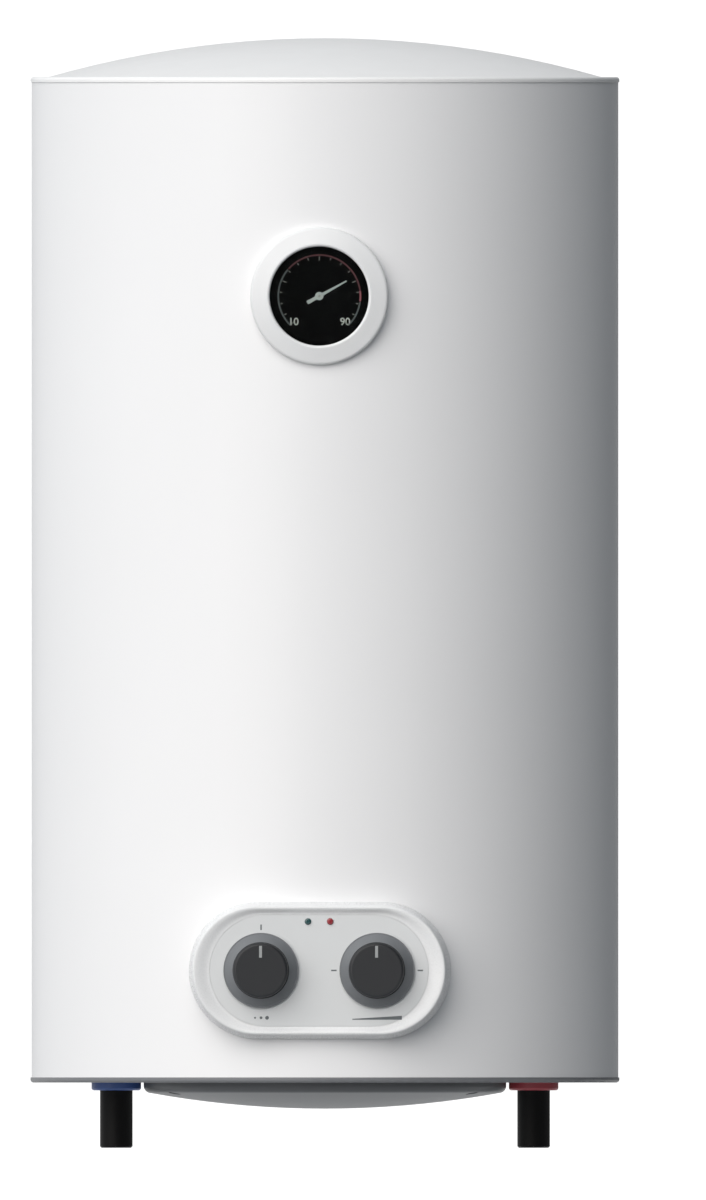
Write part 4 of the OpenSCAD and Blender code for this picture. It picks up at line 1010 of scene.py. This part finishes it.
class HEATER_OT_stage(bpy.types.Operator):
    """Set the camera, the studio light and the floor"""

    bl_idname = "heater.stage"
    bl_label = "Stage"

    FLOOR_R = 8.0
    FLOOR_EDGES = 96
    # Metres from the axis over which the floor dims, and over which it fades into the background
    DIMS = (0.3, 0.9)
    FADES = (0.6, 2.2)

    def execute(self, context):
        scene = context.scene
        setup = scene.heater_stage
        scene.view_settings.view_transform = "Standard"
        self.camera(scene, setup)
        self.key_light(scene, setup)
        self.room(scene, setup)
        self.floor(scene, setup)
        return {"FINISHED"}

    def camera(self, scene, setup):
        lens = bpy.data.cameras.new("photo_camera")
        lens.type = "ORTHO"
        lens.ortho_scale = setup.frame_h
        camera = bpy.data.objects.new("photo_camera", lens)
        scene.collection.objects.link(camera)
        right = Vector((math.cos(setup.azimuth), math.sin(setup.azimuth), 0))
        back = Vector((math.sin(setup.azimuth), -math.cos(setup.azimuth), 0))
        middle = AXIS + right * setup.aside + Vector((0, 0, CASING_LOW.z + setup.above))
        camera.location = middle + back * setup.distance
        camera.rotation_euler = (math.pi / 2, 0, setup.azimuth)
        scene.camera = camera

    def key_light(self, scene, setup):
        """One wide, far key light, raised at the front left, that is as bright below as above."""
        glow = bpy.data.lights.new("key_light", "SUN")
        glow.energy = setup.key_power
        glow.color = setup.key_tone[:3]
        glow.angle = setup.key_spread
        lamp = bpy.data.objects.new("key_light", glow)
        scene.collection.objects.link(lamp)
        turn, rise = -setup.key_turn, setup.key_rise
        towards = Vector((
            math.sin(turn) * math.cos(rise), -math.cos(turn) * math.cos(rise), math.sin(rise)
        ))
        lamp.rotation_euler = (-towards).to_track_quat("-Z", "Y").to_euler()

    def rays(self, tree):
        """Masks of the eye's own rays, of those that gloss or glass sends on, and of both."""
        path = add_node(tree, "ShaderNodeLightPath").outputs
        eye = path["Is Camera Ray"]
        sent_on = add_node(
            tree, "ShaderNodeMath", {0: path["Is Glossy Ray"], 1: path["Is Transmission Ray"]},
            operation="MAXIMUM",
        ).outputs["Value"]
        both = add_node(tree, "ShaderNodeMath", {0: eye, 1: sent_on}, operation="MAXIMUM")
        return eye, sent_on, both.outputs["Value"]

    def room(self, scene, setup):
        """White to the eye, lighter on the left to gloss and glass, and a cool fill to all else."""
        world = bpy.data.worlds.new("studio")
        scene.world = world
        world.use_nodes = True
        tree = world.node_tree
        tree.nodes.clear()
        eye, sent_on, both = self.rays(tree)
        towards = add_node(
            tree, "ShaderNodeSeparateXYZ",
            {"Vector": add_node(tree, "ShaderNodeTexCoord").outputs["Generated"]},
        ).outputs
        # Each side of the room: its axis, where it starts and ends, and how bright it is there
        sides = {
            "beside": ("X", -0.9, 0.6, setup.fill_left, setup.fill_right),
            "behind": ("Y", 0.4, 0.9, 0.0, setup.fill_back),
            "overhead": ("Z", 0.0, 0.8, 0.0, setup.fill_top),
            "ahead": ("Y", -1.0, -0.3, setup.fill_front, 0.0),
            "gloss_left": ("X", -0.7, 0.5, 1.0, setup.gloss_dim),
            "gloss_ahead": ("Y", -1.0, -0.6, setup.gloss_dim, 1.0),
        }
        glow = {}
        for name, (axis, start, end, at_start, at_end) in sides.items():
            side = add_node(tree, "ShaderNodeMapRange", {
                "Value": towards[axis], "From Min": start, "From Max": end,
                "To Min": at_start, "To Max": at_end,
            })
            glow[name] = side.outputs["Result"]
        fill = glow["beside"]
        for name in ("behind", "overhead", "ahead"):
            total = add_node(tree, "ShaderNodeMath", {0: fill, 1: glow[name]}, operation="ADD")
            fill = total.outputs["Value"]
        shown = add_node(
            tree, "ShaderNodeMath", {0: glow["gloss_left"], 1: glow["gloss_ahead"]},
            operation="MULTIPLY",
        )
        lit = add_node(
            tree, "ShaderNodeMix", {"Factor": sent_on, "A": fill, "B": shown.outputs["Value"]}
        )
        strength = add_node(
            tree, "ShaderNodeMath", {0: eye, 1: lit.outputs["Result"]}, operation="MAXIMUM"
        )
        tone = add_node(
            tree, "ShaderNodeMix", {"Factor": both, "A": setup.fill_tone, "B": WHITE},
            data_type="RGBA",
        )
        background = add_node(
            tree, "ShaderNodeBackground",
            {"Color": tone.outputs["Result"], "Strength": strength.outputs["Value"]},
        )
        add_node(tree, "ShaderNodeOutputWorld", {"Surface": background.outputs["Background"]})

    def floor(self, scene, setup):
        """Pale matt floor that takes the shadow near the heater and fades into the background."""
        material, tree, shader, where = new_material(
            "Pale floor", {"Roughness": 0.9, "Specular IOR Level": 0.0}
        )
        both = self.rays(tree)[2]
        distance = add_node(tree, "ShaderNodeVectorMath", {0: where}, operation="LENGTH")
        away = distance.outputs["Value"]
        # Pale to the eye, and dim to the pieces, so that edges that face down stay in shade
        off = add_node(
            tree, "ShaderNodeMapRange",
            {"Value": away, "From Min": self.DIMS[0], "From Max": self.DIMS[1]},
        )
        dim = add_node(
            tree, "ShaderNodeMix",
            {"Factor": off.outputs["Result"], "A": setup.floor_near, "B": setup.floor_far},
            data_type="RGBA",
        )
        vary(tree, shader, both, tones=(dim.outputs["Result"], setup.floor_seen))
        fade = add_node(
            tree, "ShaderNodeMapRange",
            {"Value": away, "From Min": self.FADES[0], "From Max": self.FADES[1]},
            interpolation_type="SMOOTHSTEP",
        )
        faded = add_node(
            tree, "ShaderNodeMath", {0: fade.outputs["Result"], 1: both}, operation="MULTIPLY"
        )
        white = add_node(tree, "ShaderNodeEmission", {"Color": WHITE, "Strength": 1.0})
        top = add_node(tree, "ShaderNodeMixShader", {
            "Fac": faded.outputs["Value"],
            1: shader.outputs["BSDF"], 2: white.outputs["Emission"],
        })
        # Clear from below, so that the underside of the pieces shows
        below = add_node(tree, "ShaderNodeNewGeometry").outputs["Backfacing"]
        clear = add_node(tree, "ShaderNodeBsdfTransparent")
        one_sided = add_node(tree, "ShaderNodeMixShader", {
            "Fac": below, 1: top.outputs["Shader"], 2: clear.outputs["BSDF"],
        })
        output = next(n for n in tree.nodes if n.bl_idname == "ShaderNodeOutputMaterial")
        tree.links.new(one_sided.outputs["Shader"], output.inputs["Surface"])
        form = bmesh.new()
        bmesh.ops.create_circle(form, cap_ends=True, segments=self.FLOOR_EDGES, radius=self.FLOOR_R)
        mesh = mesh_of("floor", form, turn_out=False)
        mesh.materials.append(material)
        ground = bpy.data.objects.new("floor", mesh)
        ground.location = (AXIS.x, AXIS.y, CAD_BOX[0].z - setup.floor_drop)
        scene.collection.objects.link(ground)


class HEATER_PT_sidebar(bpy.types.Panel):
    """Lists the heater's operators and settings"""

    bl_idname = "HEATER_PT_sidebar"
    bl_label = "Storage water heater"
    bl_space_type = "VIEW_3D"
    bl_region_type = "UI"
    bl_category = "Heater"

    def draw(self, context):
        for operator in OPERATORS:
            self.layout.operator(operator.bl_idname)
        for name in SETTINGS:
            group = getattr(context.scene, name)
            column = self.layout.column(heading=name)
            for prop in group.bl_rna.properties.keys():
                if prop not in ("rna_type", "name"):
                    column.prop(group, prop)


SETTINGS = {
    "heater_colours": HeaterColours,
    "heater_prints": HeaterPrints,
    "heater_panel": HeaterPanel,
    "heater_screws": HeaterScrews,
    "heater_stage": HeaterStage,
}
OPERATORS = (
    HEATER_OT_stage,
    HEATER_OT_casing,
    HEATER_OT_panel,
    HEATER_OT_panel_prints,
    HEATER_OT_knobs,
    HEATER_OT_thermometer,
    HEATER_OT_connections,
    HEATER_OT_brackets,
    HEATER_OT_cover_screws,
    HEATER_OT_inside,
)


def register():
    for group in SETTINGS.values():
        bpy.utils.register_class(group)
    for name, group in SETTINGS.items():
        setattr(bpy.types.Scene, name, PointerProperty(type=group))
    for operator in OPERATORS:
        bpy.utils.register_class(operator)
    bpy.utils.register_class(HEATER_PT_sidebar)


def unregister():
    bpy.utils.unregister_class(HEATER_PT_sidebar)
    for operator in reversed(OPERATORS):
        bpy.utils.unregister_class(operator)
    for name, group in SETTINGS.items():
        delattr(bpy.types.Scene, name)
        bpy.utils.unregister_class(group)


def main():
    register()
    for operator in OPERATORS:
        name = operator.bl_idname.split(".")[1]
        if getattr(bpy.ops.heater, name)() != {"FINISHED"}:
            raise RuntimeError(f"{operator.bl_label} didn't finish")


if __name__ == "__main__":
    main()
